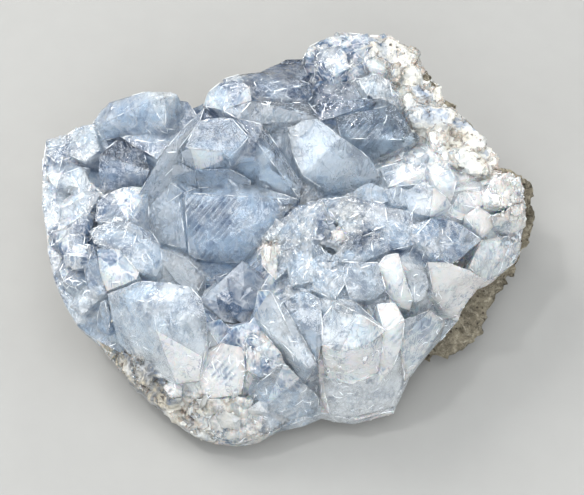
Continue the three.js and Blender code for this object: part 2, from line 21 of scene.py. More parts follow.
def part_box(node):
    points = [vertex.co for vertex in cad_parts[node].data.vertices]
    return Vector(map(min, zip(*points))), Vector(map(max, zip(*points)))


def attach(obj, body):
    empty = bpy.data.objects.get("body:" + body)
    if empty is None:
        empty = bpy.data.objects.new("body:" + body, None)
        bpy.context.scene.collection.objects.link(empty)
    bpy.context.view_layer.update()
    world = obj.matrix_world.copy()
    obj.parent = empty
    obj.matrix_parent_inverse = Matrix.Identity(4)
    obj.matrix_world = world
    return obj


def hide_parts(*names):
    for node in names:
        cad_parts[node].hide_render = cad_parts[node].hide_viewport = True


bl_info = {
    "name": "Celestite Crystal Cluster",
    "version": (1, 0, 0),
    "blender": (4, 5, 0),
    "location": "3D View > Sidebar > Celestite",
    "description": "Clear crystals, milky crust, tiny crystals and rock of a celestite cluster",
    "category": "Object",
}

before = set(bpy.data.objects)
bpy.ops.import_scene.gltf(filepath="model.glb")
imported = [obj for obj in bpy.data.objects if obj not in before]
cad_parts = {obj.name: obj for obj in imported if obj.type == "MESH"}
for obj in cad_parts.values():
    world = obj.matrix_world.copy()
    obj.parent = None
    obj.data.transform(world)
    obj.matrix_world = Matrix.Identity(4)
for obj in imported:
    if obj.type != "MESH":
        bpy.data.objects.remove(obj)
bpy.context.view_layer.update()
MM = 0.001

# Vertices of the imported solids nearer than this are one. Facets that differ less than FLAT_FACET are one
# face, and edges that turn more than SHARP_EDGE count as sharp.
MERGE_DISTANCE = 0.01 * MM
FLAT_FACET = math.radians(1.5)
SHARP_EDGE = math.radians(24)

# How many directions the outline is measured in, and where the count of random cells starts, so that no
# cell has a number below zero.
SECTORS = 36
CELL_START = 100000

# Celestite bends light this much, and its growth lines run across this direction.
CRYSTAL_IOR = 1.62
GROWTH_DIRECTION = (0.766, -0.557, -0.322)

# Colours that are the same wherever they occur.
# White of fresh breaks and chips, which also serves as painted glints and painted edge highlights.
FRESH_WHITE_AND_GLINT = (0.95, 0.97, 0.98, 1)
# White of thin inner crack lines, which also stands in for glints as painted highlight.
CRACK_AND_GLINT_WHITE = (0.95, 0.98, 1.0, 1)
# Palest crystal face: its own milky white, and in part painted light.
PALEST_FACE = (0.93, 0.965, 0.985, 1)
CLOUD_WHITE = (0.93, 0.955, 0.97, 1)
CRUST_CLOUD = (0.73, 0.71, 0.64, 1)
BREAK_SHADE = (0.80, 0.87, 0.92, 1)
WEATHERED_SKIN = (0.13, 0.12, 0.095, 1)
GRIME = (0.24, 0.21, 0.16, 1)
FRESH_MARL = (0.72, 0.66, 0.53, 1)
MARL_SPECK = (0.06, 0.045, 0.035, 1)

# The studio: how far its floor reaches in metres, and the colour and strength of the light of the room.
FLOOR_REACH = 0.9
ROOM_COLOUR = (0.92, 0.96, 1.0, 1)
ROOM_STRENGTH = 0.3

# How the photograph was taken. The aim is the middle of the piece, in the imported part's frame.
PHOTO_WIDTH = 584
PHOTO_HEIGHT = 495
PIXELS_PER_MM = 494 / 98
VIEW_ELEVATION = math.radians(60)
VIEW_DISTANCE = 330 * MM
VIEW_AIM = np.array([0.330, -3.539, 18.0]) * MM
SENSOR = 36.0

AHEAD = np.array([0.0, math.cos(VIEW_ELEVATION), -math.sin(VIEW_ELEVATION)])
UPWARD = np.array([0.0, math.sin(VIEW_ELEVATION), math.cos(VIEW_ELEVATION)])
EYE = VIEW_AIM - AHEAD * VIEW_DISTANCE
FOCUS = VIEW_DISTANCE / MM * PIXELS_PER_MM

# What is inside each part of the cluster, by its column and row in the photograph and its reach in
# pixels: the depth of clear crystal over the milky heart in mm (below 0, the crust stands proud), how dark
# it is (from 0.3 below 0, which is palest, to 1), and how blue, how stained and how broken it is, each
# from 0 to 1. How dark a part is gives its own tone, and in part painted shade and painted light: parts
# are darkened or made paler for how light falls on them.
INSIDE = {
    "left rim top": (62, 150, 18, 1.3, 0.66, 0.25, 0.1, 0.3),
    "left rim": (60, 195, 20, 1.3, 0.2, 0.3, 0.1, 0.3),
    "left rim low": (66, 250, 20, 1.3, 1.0, 0.15, 0.1, 0.3),
    "left rim foot": (80, 300, 16, 1.3, 0.25, 0.3, 0.1, 0.3),
    "left shard": (82, 143, 14, 1.4, 0.28, 0.2, 0.0, 0.3),
    "left dark block": (124, 166, 20, 2.9, 0.9, 0.9, 0.0, 0.1),
    "back left block": (140, 108, 24, 2.5, 0.32, 0.7, 0.0, 0.1),
    "back left glint": (160, 100, 10, 1.0, -0.3, 0.0, 0.0, 0.6),
    "left pale wedge": (120, 206, 18, 1.2, 0.75, 0.3, 0.0, 0.45),
    "left glass block": (130, 244, 18, 2.4, 0.28, 0.45, 0.0, 0.2),
    "left blue band": (92, 270, 12, 2.4, 0.56, 0.9, 0.0, 0.1),
    "left blue foot": (102, 318, 12, 2.2, 0.18, 1.0, 0.0, 0.1),
    "left white face": (118, 268, 14, 0.8, 0.55, 0.1, 0.0, 0.2),
    "front left block": (165, 320, 28, 1.4, 0.0, 0.4, 0.0, 0.1),
    "front left grey": (140, 310, 16, 1.8, 0.18, 0.5, 0.0, 0.2),
    "front left foot": (180, 366, 20, 1.0, -0.3, 0.15, 0.0, 0.2),
    "lower left rim": (140, 388, 22, -0.2, 1.0, 0.0, 1.0, 0.9),
    "lower left rim front": (190, 418, 18, -0.2, 0.2, 0.1, 0.62, 0.9),
    "hollow brow": (170, 160, 16, 1.6, -0.2, 0.85, 0.0, 0.1),
    "hollow left face": (165, 222, 20, 2.6, -0.15, 1.0, 0.0, 0.0),
    "hollow floor": (230, 222, 34, 2.6, 0.24, 0.8, 0.0, 0.0),
    "hollow sill": (184, 276, 16, 2.6, -0.3, 1.0, 0.0, 0.2),
    "dark facet": (205, 178, 20, 2.0, 0.0, 1.0, 0.0, 0.0),
    "pale bar": (205, 158, 12, 1.0, 0.00, 0.0, 0.0, 0.0),
    "swirl block": (230, 136, 22, 2.4, 0.6, 0.6, 0.0, 0.1),
    "blue gap": (276, 170, 22, 3.4, -0.1, 0.8, 0.0, 0.1),
    "pit": (238, 300, 22, 0.7, 1.0, 1.0, 0.0, 0.1),
    "back white block": (228, 94, 16, 1.4, 0.45, 0.4, 0.0, 0.3),
    "back dark arc": (280, 88, 22, 3.6, 1.0, 0.3, 0.0, 0.2),
    "back ledge": (280, 114, 18, 2.4, -0.15, 0.5, 0.0, 0.45),
    "smooth block": (334, 160, 28, 1.8, -0.1, 0.5, 0.0, 0.0),
    # Painted shade: this face is darkened against the light it catches.
    "wedge upper": (342, 106, 16, 3.4, 0.7, 0.45, 0.0, 0.1),
    "wedge lower": (376, 128, 22, 3.6, 0.0, 0.5, 0.05, 0.1),
    "crest pale": (335, 60, 20, 0.9, 0.8, 0.2, 0.15, 0.5),
    "crest grey": (376, 82, 16, 1.4, 0.3, 0.1, 0.1, 0.4),
    "upper rim": (405, 62, 22, -0.3, 0.00, 0.0, 0.4, 1.0),
    "upper right": (440, 110, 26, -0.3, 0.4, 0.0, 0.4, 1.0),
    "right valley": (470, 145, 22, -0.2, 0.36, 0.0, 0.45, 0.9),
    "valley white": (425, 165, 22, 0.3, 0.0, 0.1, 0.05, 0.5),
    "crest blue": (390, 198, 26, 2.4, -0.12, 0.7, 0.0, 0.2),
    "crest blue right": (450, 198, 20, 1.0, -0.3, 0.1, 0.0, 0.2),
    "mound left": (300, 225, 22, 1.6, 0.66, 0.5, 0.0, 0.6),
    "mound top": (350, 215, 24, 1.4, 0.46, 0.5, 0.0, 0.65),
    "mound right": (400, 230, 20, 1.8, 0.62, 0.5, 0.0, 0.3),
    # Painted light: this pocket is paler than the mound round it, against the shade in it.
    "mound pocket": (336, 238, 9, 0.4, 0.4, 0.6, 0.0, 0.5),
    "mound stain": (270, 248, 10, 0.3, -0.15, 0.0, 0.5, 0.9),
    "mound front": (320, 268, 26, 1.6, 0.12, 0.5, 0.0, 0.5),
    "mound glass": (365, 280, 20, 2.0, 0.12, 0.5, 0.0, 0.2),
    "long prism": (285, 335, 18, 1.4, -0.2, 0.4, 0.0, 0.2),
    "grey triangle": (308, 325, 14, 1.8, 0.5, 0.5, 0.0, 0.0),
    "bright face": (352, 326, 20, 0.9, 0.05, 0.2, 0.0, 0.0),
    "bright face foot": (350, 362, 20, 0.8, -0.3, 0.15, 0.0, 0.5),
    "crescent": (395, 335, 16, 0.8, -0.2, 0.15, 0.0, 0.1),
    "front right base": (360, 398, 24, 1.2, -0.3, 0.1, 0.05, 0.35),
    "crescent shoulder": (424, 335, 16, 1.0, 0.12, 0.3, 0.05, 0.3),
    "front pyramid": (285, 392, 20, 1.4, 0.43, 0.4, 0.05, 0.3),
    "front striped": (225, 372, 20, 0.7, -0.3, 0.05, 0.0, 0.3),
    "front white": (262, 352, 14, 0.6, 0.6, 0.1, 0.0, 0.65),
    "front lip": (235, 420, 18, 0.6, 0.3, 0.2, 0.2, 0.7),
    "pale blade": (395, 278, 16, 0.8, -0.1, 0.2, 0.0, 0.1),
    "window block": (420, 285, 12, 1.6, -0.2, 0.3, 0.0, 0.2),
    "right white block": (455, 285, 22, 0.8, -0.3, 0.1, 0.0, 0.2),
    "dark patch": (445, 238, 18, 2.6, 0.92, 0.8, 0.0, 0.4),
    "right white face": (480, 222, 16, 0.3, -0.3, 0.0, 0.0, 0.2),
    "right rim": (512, 200, 20, 0.3, -0.3, 0.0, 0.05, 0.8),
    "right end": (508, 238, 18, 0.6, 0.08, 0.2, 0.15, 0.5),
}
LOOKS = np.array(list(INSIDE.values()), float)

# Crystals that are more broken than this get the finer mesh.
BROKEN = 0.45

# Where growth lines show: column, row and reach in pixels.
LINED = {
    "hollow floor": (214, 216, 26),
    "hollow sill": (205, 262, 12),
    "front striped": (225, 366, 16),
    "wedge lower": (368, 130, 18),
    "crescent": (396, 330, 12),
    "left pale wedge": (120, 205, 12),
}

# Patches of broken chips: column and row of the middle, half-sizes in pixels, how many, and the smallest
# and largest width in mm.
CHIP_PATCHES = {
    "front": (240, 404, 46, 22, 8, 2.5, 5.0),
    "left rim": (64, 210, 20, 80, 14, 2.5, 5.5),
}

# Pockets between crystals that smaller ones fill, in the same terms, and then how far these lie below
# the rim of the pocket in mm.
POCKETS = {
    "mound pocket": (337, 236, 15, 8, 22, 3.0, 5.5, 0.5),
    "pit": (236, 300, 5, 4, 4, 12.0, 15.0, 4.0),
}

# Patches of sugary grains on the crust, in the same terms.
GRAIN_PATCHES = {
    "upper rim": (402, 66, 52, 34, 450, 0.3, 0.8),
    "right valley": (456, 132, 52, 36, 450, 0.3, 0.8),
    "right rim": (514, 205, 20, 40, 300, 0.4, 1.1),
    "lower left rim": (145, 390, 50, 42, 600, 0.4, 1.0),
    "left rim": (52, 215, 14, 70, 220, 0.4, 1.1),
    "front lip": (235, 428, 60, 14, 160, 0.4, 0.9),
}
WALL_GRAINS = 1800

# The habit of chips and of grains: how much they lean, and the least and greatest length as shares of
# their width.
CHIP_HABIT = (0.4, 0.3, 0.6)
GRAIN_HABIT = (0.8, 0.35, 0.8)

# How far single facets stray from what INSIDE says of their part, the darkness of the palest ones, and
# the depths, counted downwards in mm, at which a facet turns from clear to cloudy and then to frosted.
TONE_SPREAD = 0.16
BLUE_SPREAD = 0.3
DEPTH_SPREAD = 0.8
PALEST = -0.3
FINISH_STEPS = (-3.0, -1.1)

# How dark and how stained the plain crust of the outer wall is; its darkness is partly painted shade that
# tones down the lit rim.
WALL_SHADE = 0.2
WALL_STAIN = 0.4

# How many places are tried for the white ridges of breaks, and how many stretches of sharp edge get white
# strips, as chips and as painted highlight; the white of both also serves as painted glints.
RIDGE_PLACES = 13000
CHIPPED_AND_GLINTING_EDGES = 650


def on_photo(points):
    """Column and row in the photograph of points given in metres."""
    away = points - EYE
    depth = away @ AHEAD
    column = PHOTO_WIDTH / 2 + away[:, 0] / depth * FOCUS
    row = PHOTO_HEIGHT / 2 - (away @ UPWARD) / depth * FOCUS
    return np.stack([column, row], axis=1)


def sight_line(column, row):
    """Direction from the eye through a column and row of the photograph."""
    ray = AHEAD * FOCUS + UPWARD * (PHOTO_HEIGHT / 2 - row)
    ray = ray + np.array([column - PHOTO_WIDTH / 2, 0.0, 0.0])
    return Vector(ray / np.linalg.norm(ray))


def insides_at(points):
    """The columns of INSIDE from the depth on, blended between the parts that lie nearest each point."""
    spots = on_photo(points)
    found = np.zeros((len(points), LOOKS.shape[1] - 3))
    total = np.zeros(len(points))
    for column, row, reach, *looks in LOOKS:
        away = ((spots[:, 0] - column) ** 2 + (spots[:, 1] - row) ** 2) / reach**2
        weight = np.exp(-2.2 * away) + 1e-4 / (1 + away) ** 2
        found += weight[:, None] * np.array(looks)
        total += weight
    return found / total[:, None]


def sectors_of(points):
    """The number of the direction in which each point lies from the middle of the cluster."""
    angle = np.arctan2(points[:, 1], points[:, 0])
    return (angle / (2 * math.pi) * SECTORS).astype(int) % SECTORS


def outline_reach():
    """How far the crystals reach from the middle of the cluster, in SECTORS directions round it."""
    places = vertex_places(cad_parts["celestite_crystals"].data)
    reach = np.zeros(SECTORS)
    np.maximum.at(reach, sectors_of(places), np.hypot(places[:, 0], places[:, 1]))
    return np.minimum(reach, (np.roll(reach, 1) + np.roll(reach, -1)) / 2 + 3 * MM)


def outer_wall(points, normals):
    """Share of plain outer wall from 0 to 1: what faces outwards and away from the eye near the outline,
    which the photograph doesn't show."""
    away = np.clip((0.32 - normals @ -AHEAD) / 0.25, 0, 1)
    radius = np.hypot(points[:, 0], points[:, 1]) + 1e-9
    outwards = (points[:, 0] * normals[:, 0] + points[:, 1] * normals[:, 1]) / radius
    reach = REACH[sectors_of(points)]
    near = np.clip((radius / reach - 0.74) / 0.1, 0, 1)
    low = np.clip((12 * MM - points[:, 2]) / (4 * MM), 0, 1)
    return away * np.clip((outwards - 0.05) / 0.3, 0, 1) * np.maximum(near, low)


def nearness(points, spots):
    """How near points are to spots of the photograph, from 0 to 1."""
    places = on_photo(points)
    near = np.zeros(len(points))
    for column, row, reach in spots.values():
        away = ((places[:, 0] - column) ** 2 + (places[:, 1] - row) ** 2) / reach**2
        near = np.maximum(near, np.clip(1.6 - away, 0, 1))
    return near


def hashed(cells, seed, count):
    """Repeatable numbers from 0 to 1 for whole-number cells: one row for each cell."""
    mixed = cells.astype(np.uint64)
    state = mixed[:, 0] * np.uint64(0x9E3779B97F4A7C15)
    state = (state ^ (mixed[:, 1] + np.uint64(0x7F4A7C15))) * np.uint64(0xBF58476D1CE4E5B9)
    state = (state ^ (mixed[:, 2] + np.uint64(0x1CE4E5B9))) * np.uint64(0x94D049BB133111EB)
    state = state + np.uint64(seed)
    columns = []
    for _ in range(count):
        state = (state ^ (state >> np.uint64(31))) * np.uint64(0xD6E8FEB86659FD93)
        columns.append((state >> np.uint64(40)).astype(float) / 2**24)
    return np.stack(columns, axis=1)


def broken_cells(points, size, seed):
    """Breaks space into random cells. For each point: its place in its cell, as a share of size, and the
    cell's own random numbers from -1 to 1."""
    scaled = points / size
    base = np.floor(scaled).astype(np.int64)
    nearest = np.full(len(points), 1e9)
    place = np.zeros((len(points), 3))
    own = np.zeros((len(points), 3))
    for shift in itertools.product((-1, 0, 1), repeat=3):
        cell = base + np.array(shift)
        numbers = hashed(cell + CELL_START, seed, 6)
        away = scaled - cell - numbers[:, :3]
        distance = (away**2).sum(axis=1)
        closer = distance < nearest
        nearest = np.where(closer, distance, nearest)
        place[closer] = away[closer]
        own[closer] = numbers[closer, 3:] * 2 - 1
    return place, own


def broken_relief(points, size, seed, tilt, step=0.0):
    """The relief of random blocks, each with a tilt and a step of its own, in mm."""
    place, own = broken_cells(points, size, seed)
    return (place * own).sum(axis=1) * tilt + own[:, 0] * step


def rolling(points, size, seed):
    """Smooth random numbers from -1 to 1 that change over size."""
    scaled = points / size
    base = np.floor(scaled).astype(np.int64)
    part = scaled - base
    part = part * part * (3 - 2 * part)
    total = np.zeros(len(points))
    for shift in itertools.product((0, 1), repeat=3):
        corner = np.array(shift)
        weight = np.prod(np.where(corner == 1, part, 1 - part), axis=1)
        total += weight * hashed(base + corner + CELL_START, seed, 1)[:, 0]
    return total * 2 - 1


def rough(points, size, seed, octaves=3):
    """Smooth random numbers with finer ones on top."""
    total = np.zeros(len(points))
    for i in range(octaves):
        total += rolling(points, size / 2**i, seed + i) / 2**i
    return total


def values_of(items, name, width=1, kind=np.float32):
    """One value, or a row of values, for each item of a mesh."""
    found = np.zeros(len(items) * width, kind)
    items.foreach_get(name, found)
    return found.reshape(-1, width) if width > 1 else found


def vertex_places(mesh):
    """The vertices of a mesh as an array."""
    return values_of(mesh.vertices, "co", 3).astype(float)


def vertex_normals(mesh):
    """The vertex normals of a mesh as an array."""
    return values_of(mesh.vertex_normals, "vector", 3).astype(float)


def move_vertices(mesh, places):
    """Puts the vertices of a mesh at new places."""
    mesh.vertices.foreach_set("co", places.astype(np.float32).ravel())
    mesh.update()


def store(mesh, name, values, domain="POINT"):
    """Keeps one number for each vertex, or each face, under a name that the materials read."""
    layer = mesh.attributes.new(name, "FLOAT", domain)
    layer.data.foreach_set("value", values.astype(np.float32))


def fine_copy(node, name, limit, smoothed):
    """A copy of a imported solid's mesh. Every flat facet keeps a number of its own, edges are split until
    none is longer than limit gives for its middle, and sharp outer edges are worn down a little."""
    made = bmesh.new()
    made.from_mesh(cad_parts[node].data)
    bmesh.ops.remove_doubles(made, verts=made.verts, dist=MERGE_DISTANCE)
    bmesh.ops.dissolve_limit(
        made, angle_limit=FLAT_FACET, verts=made.verts[:], edges=made.edges[:]
    )
    facet = made.faces.layers.int.new("facet")
    for number, face in enumerate(made.faces):
        face[facet] = number
    bmesh.ops.triangulate(made, faces=made.faces[:])
    for _ in range(7):
        edges = [e for e in made.edges if any(f.normal.z > -0.3 for f in e.link_faces)]
        lengths = np.array([e.calc_length() for e in edges])
        middles = np.array([(e.verts[0].co + e.verts[1].co) / 2 for e in edges])
        long_edges = [edges[i] for i in np.flatnonzero(lengths > limit(middles))]
        if not long_edges:
            break
        bmesh.ops.subdivide_edges(made, edges=long_edges, cuts=1)
        bmesh.ops.triangulate(made, faces=[f for f in made.faces if len(f.verts) > 3])
    # Marks the sharp edges that the glassy finish whitens, as chips and as painted highlight.
    worn = made.verts.layers.float.new("edge")
    sharp = {
        vertex
        for edge in made.edges
        if edge.is_manifold and edge.calc_face_angle_signed(0) > SHARP_EDGE
        for vertex in edge.verts
    }
    for vertex in sharp:
        vertex[worn] = 1
    bmesh.ops.smooth_vert(
        made, verts=list(sharp), factor=smoothed, use_axis_x=True, use_axis_y=True, use_axis_z=True
    )
    mesh = bpy.data.meshes.new(name)
    made.to_mesh(mesh)
    made.free()
    return mesh


def facets_of(mesh):
    """For each face of a fine copy: the number of its facet and the middle of that facet."""
    number = values_of(mesh.attributes["facet"].data, "value", kind=np.int32)
    centres = values_of(mesh.polygons, "center", 3)
    areas = values_of(mesh.polygons, "area")
    total = np.bincount(number, areas) + 1e-12
    middle = np.stack([np.bincount(number, areas * centres[:, i]) / total for i in range(3)], axis=1)
    return number, middle[number].astype(float)


def surface_tree(node):
    """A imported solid's surface, for asking what is nearest and what a ray meets."""
    made = bmesh.new()
    made.from_mesh(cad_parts[node].data)
    bmesh.ops.remove_doubles(made, verts=made.verts, dist=MERGE_DISTANCE)
    bmesh.ops.triangulate(made, faces=made.faces[:])
    tree = BVHTree.FromBMesh(made)
    made.free()
    return tree


def depth_grid(tree, low, high, pitch, deepest, proud):
    """A grid of depths under a closed surface, negative outside it, where deeper than deepest isn't
    measured. With it, the cells near the surface, their points, and the normals of what is nearest."""
    count = np.ceil((high - low) / pitch).astype(int) + 1
    inside = np.zeros(count, bool)
    up = Vector((0, 0, 1))
    for i, j in itertools.product(range(count[0]), range(count[1])):
        start = Vector((low[0] + i * pitch, low[1] + j * pitch, low[2] - pitch))
        heights = []
        while len(heights) < 40:
            hit = tree.ray_cast(start, up)[0]
            if hit is None:
                break
            heights.append(hit.z)
            start = hit + up * 1e-6
        levels = low[2] + np.arange(count[2]) * pitch
        for bottom, top in zip(heights[0::2], heights[1::2]):
            inside[i, j] |= (levels > bottom) & (levels < top)
    near = inside.copy()
    reach = int(math.ceil(proud / pitch)) + 1
    for axis in range(3):
        for shift in range(1, reach + 1):
            near |= np.roll(inside, shift, axis) | np.roll(inside, -shift, axis)
    depth = np.full(count, -1.0)
    places = np.argwhere(near)
    points = low + places * pitch
    found = [tree.find_nearest(p) for p in points]
    distance = np.array([f[3] for f in found])
    normals = np.array([f[1] for f in found])
    sign = np.where(inside[tuple(places.T)], 1.0, -1.0)
    depth[tuple(places.T)] = np.minimum(distance, deepest) * sign
    return depth, places, points, normals


def surface_of(field, low, pitch):
    """The surface round the places where a grid is above zero, as vertices and four-sided faces."""
    full = field > 0
    shape = np.array(field.shape) - 1
    corners = list(itertools.product((0, 1), repeat=3))

    def corner_of(grid, corner):
        return grid[tuple(slice(c, c + n) for c, n in zip(corner, shape))]

    count = sum(corner_of(full, c).astype(int) for c in corners)
    crossed = (count > 0) & (count < 8)
    cells = np.argwhere(crossed)
    number = np.full(tuple(shape), -1)
    number[crossed] = np.arange(len(cells))
    values = {c: corner_of(field, c)[crossed] for c in corners}
    total = np.zeros((len(cells), 3))
    edges = np.zeros(len(cells))
    for first, last in itertools.combinations(corners, 2):
        if sum(abs(a - b) for a, b in zip(first, last)) != 1:
            continue
        a, b = values[first], values[last]
        crosses = (a > 0) != (b > 0)
        share = np.where(crosses, a / np.where(crosses, a - b, 1), 0)
        spot = np.array(first) + share[:, None] * (np.array(last) - np.array(first))
        total += np.where(crosses[:, None], spot, 0)
        edges += crosses
    vertices = low + (cells + total / edges[:, None]) * pitch
    faces = []
    for axis in range(3):
        across, along = (axis + 1) % 3, (axis + 2) % 3
        starts = [slice(1, n) for n in shape]
        starts[axis] = slice(0, shape[axis])
        ends = list(starts)
        ends[axis] = slice(1, shape[axis] + 1)
        here, there = full[tuple(starts)], full[tuple(ends)]
        for outward in (True, False):
            found = np.argwhere((here & ~there) if outward else (~here & there))
            found = found + np.array([s.start for s in starts])
            ring = []
            for step_across, step_along in ((1, 1), (0, 1), (0, 0), (1, 0)):
                cell = found.copy()
                cell[:, across] -= step_across
                cell[:, along] -= step_along
                ring.append(number[tuple(cell.T)])
            quads = np.stack(ring if outward else ring[::-1], axis=1)
            faces.append(quads)
    return vertices, np.concatenate(faces)


def mesh_of(name, vertices, faces):
    """A mesh from arrays of vertices and of faces that all have as many corners."""
    mesh = bpy.data.meshes.new(name)
    corners = faces.shape[1]
    mesh.vertices.add(len(vertices))
    mesh.vertices.foreach_set("co", vertices.astype(np.float32).ravel())
    mesh.loops.add(faces.size)
    mesh.loops.foreach_set("vertex_index", faces.astype(np.int32).ravel())
    mesh.polygons.add(len(faces))
    mesh.polygons.foreach_set("loop_start", np.arange(0, faces.size, corners, dtype=np.int32))
    mesh.update(calc_edges=True)
    mesh.validate()
    return mesh


def piece_of(mesh, materials):
    """An object for a finished mesh that rides with the cluster."""
    piece = bpy.data.objects.new(mesh.name, mesh)
    bpy.context.scene.collection.objects.link(piece)
    for material in materials:
        mesh.materials.append(material)
    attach(piece, "root")
    return piece


# Material tools.


def add_node(tree, kind, inputs=None, **settings):
    """A node with its settings, and its inputs joined to sockets or set to values."""
    node = tree.nodes.new(kind)
    for name, value in settings.items():
        setattr(node, name, value)
    for name, value in (inputs or {}).items():
        socket = node.inputs[name]
        if isinstance(value, bpy.types.NodeSocket):
            tree.links.new(value, socket)
        else:
            socket.default_value = value
    return node


def maths(tree, operation, a, b=0.0, clamp=False):
    """One step of arithmetic on two values."""
    return add_node(tree, "ShaderNodeMath", {0: a, 1: b}, operation=operation, use_clamp=clamp).outputs[0]


def times(tree, a, b, clamp=False):
    """Two values multiplied."""
    return maths(tree, "MULTIPLY", a, b, clamp)


def vectors(tree, operation, a, b):
    """One step of arithmetic on two vectors, or on a vector and the number that scales it."""
    inputs = {0: a, "Scale" if operation == "SCALE" else 1: b}
    node = add_node(tree, "ShaderNodeVectorMath", inputs, operation=operation)
    return node.outputs["Value" if operation == "DOT_PRODUCT" else "Vector"]


def spread(tree, value, low, high, out_low=0.0, out_high=1.0):
    """A value moved from one range to another and kept inside it."""
    inputs = {"Value": value, "From Min": low, "From Max": high, "To Min": out_low, "To Max": out_high}
    return add_node(tree, "ShaderNodeMapRange", inputs).outputs["Result"]


def blend_colours(tree, factor, first, second):
    """Two colours blended by a factor."""
    inputs = {0: factor, 6: first, 7: second}
    return add_node(tree, "ShaderNodeMix", inputs, data_type="RGBA", clamp_factor=True).outputs[2]


def kept(tree, name):
    """The number that the mesh keeps for each vertex under a name."""
    return add_node(tree, "ShaderNodeAttribute", attribute_name=name).outputs["Fac"]


def noise_at(tree, place, size, detail=3.0, roughness=0.55, distortion=0.0):
    """Smooth random values that change over size, in mm."""
    inputs = {
        "Vector": place,
        "Scale": 1 / (size * MM),
        "Detail": detail,
        "Roughness": roughness,
        "Distortion": distortion,
    }
    return add_node(tree, "ShaderNodeTexNoise", inputs).outputs["Fac"]


def new_group(name, inputs, outputs):
    """An empty node group with named inputs and outputs."""
    group = bpy.data.node_groups.new(name, "ShaderNodeTree")
    for label, kind, value in inputs:
        socket = group.interface.new_socket(label, in_out="INPUT", socket_type=kind)
        if value is not None:
            socket.default_value = value
    for label, kind in outputs:
        group.interface.new_socket(label, in_out="OUTPUT", socket_type=kind)
    return group, group.nodes.new("NodeGroupInput"), group.nodes.new("NodeGroupOutput")


def use_group(tree, name, place, **inputs):
    """Places one of the shared node groups, which is built when it is first wanted."""
    group = bpy.data.node_groups.get(name) or SHARED_GROUPS[name]()
    return add_node(tree, "ShaderNodeGroup", {"Vector": place, **inputs}, node_tree=group)


def chipped_faces_group():
    """Small flat breaks on a crystal face: each has a tilt of its own and ends in a step."""
    inputs = [("Vector", "NodeSocketVector", None), ("Scale", "NodeSocketFloat", 400.0)]
    outputs = [("Height", "NodeSocketFloat"), ("Mask", "NodeSocketFloat")]
    group, given, result = new_group("Chipped faces", inputs, outputs)
    place, scale = given.outputs["Vector"], given.outputs["Scale"]
    cells = add_node(group, "ShaderNodeTexVoronoi", {"Vector": place, "Scale": scale})
    own = vectors(group, "SUBTRACT", cells.outputs["Color"], (0.5, 0.5, 0.5))
    centre = vectors(group, "SCALE", cells.outputs["Position"], scale)
    away = vectors(group, "SUBTRACT", vectors(group, "SCALE", place, scale), centre)
    group.links.new(vectors(group, "DOT_PRODUCT", away, own), result.inputs["Height"])
    split = add_node(group, "ShaderNodeSeparateColor", {0: cells.outputs["Color"]})
    group.links.new(split.outputs[0], result.inputs["Mask"])
    return group


def inner_structure_group():
    """What shows inside a crystal: blocks that each have a tone, thin curved crack lines, whose white is also
    painted glint, milky clouds, and dark streaks drawn out one way."""
    inputs = [("Vector", "NodeSocketVector", None)]
    outputs = [(name, "NodeSocketFloat") for name in ("Blocks", "Cracks and glints", "Clouds", "Streaks")]
    group, given, result = new_group("Inner structure", inputs, outputs)
    place = given.outputs["Vector"]
    warp = add_node(group, "ShaderNodeTexNoise", {"Vector": place, "Scale": 240.0, "Detail": 2.0})
    centred = vectors(group, "SUBTRACT", warp.outputs["Color"], (0.5, 0.5, 0.5))
    curved = vectors(group, "ADD", place, vectors(group, "SCALE", centred, 0.006))

    tones = []
    for size, source in ((0.0062, place), (0.0028, curved)):
        cells = use_group(group, "Chipped faces", source, Scale=1 / size)
        slope = times(group, cells.outputs["Height"], 1.6)
        tones.append(maths(group, "ADD", cells.outputs["Mask"], slope))
    broad, fine = (times(group, tone, part) for tone, part in zip(tones, (0.6, 0.4)))
    mixed = maths(group, "ADD", broad, fine)
    group.links.new(spread(group, mixed, 0.1, 0.9), result.inputs["Blocks"])

    # Thin white crack lines: inner fractures, and painted glints as well.
    cracks_and_glints = []
    for size, width, share in ((0.0048, 0.09, 1.0), (0.0021, 0.13, 0.8)):
        cells = add_node(
            group,
            "ShaderNodeTexVoronoi",
            {"Vector": curved, "Scale": 1 / size},
            feature="DISTANCE_TO_EDGE",
        )
        where = add_node(
            group, "ShaderNodeTexNoise", {"Vector": place, "Scale": 0.8 / size, "Detail": 1.0}
        )
        shown = spread(group, where.outputs["Fac"], 0.46, 0.56, 0.0, share)
        cracks_and_glints.append(times(group, spread(group, cells.outputs["Distance"], width, 0.0), shown))
    group.links.new(maths(group, "MAXIMUM", *cracks_and_glints), result.inputs["Cracks and glints"])

    clouds = noise_at(group, place, 4.5, 3.0, 0.62, 0.9)
    group.links.new(spread(group, clouds, 0.47, 0.60), result.inputs["Clouds"])

    drawn = add_node(
        group, "ShaderNodeMapping", {"Vector": place, "Rotation": (0.5, 0.4, 0.9), "Scale": (1.0, 0.25, 0.5)}
    )
    streaks = noise_at(group, drawn.outputs["Vector"], 1.8, 2.0, 0.6, 1.4)
    ridge = maths(group, "ABSOLUTE", maths(group, "SUBTRACT", streaks, 0.5))
    where = noise_at(group, place, 3.6, 1.0, 0.5)
    streaked = times(group, spread(group, ridge, 0.05, 0.01), spread(group, where, 0.42, 0.58))
    group.links.new(streaked, result.inputs["Streaks"])
    return group


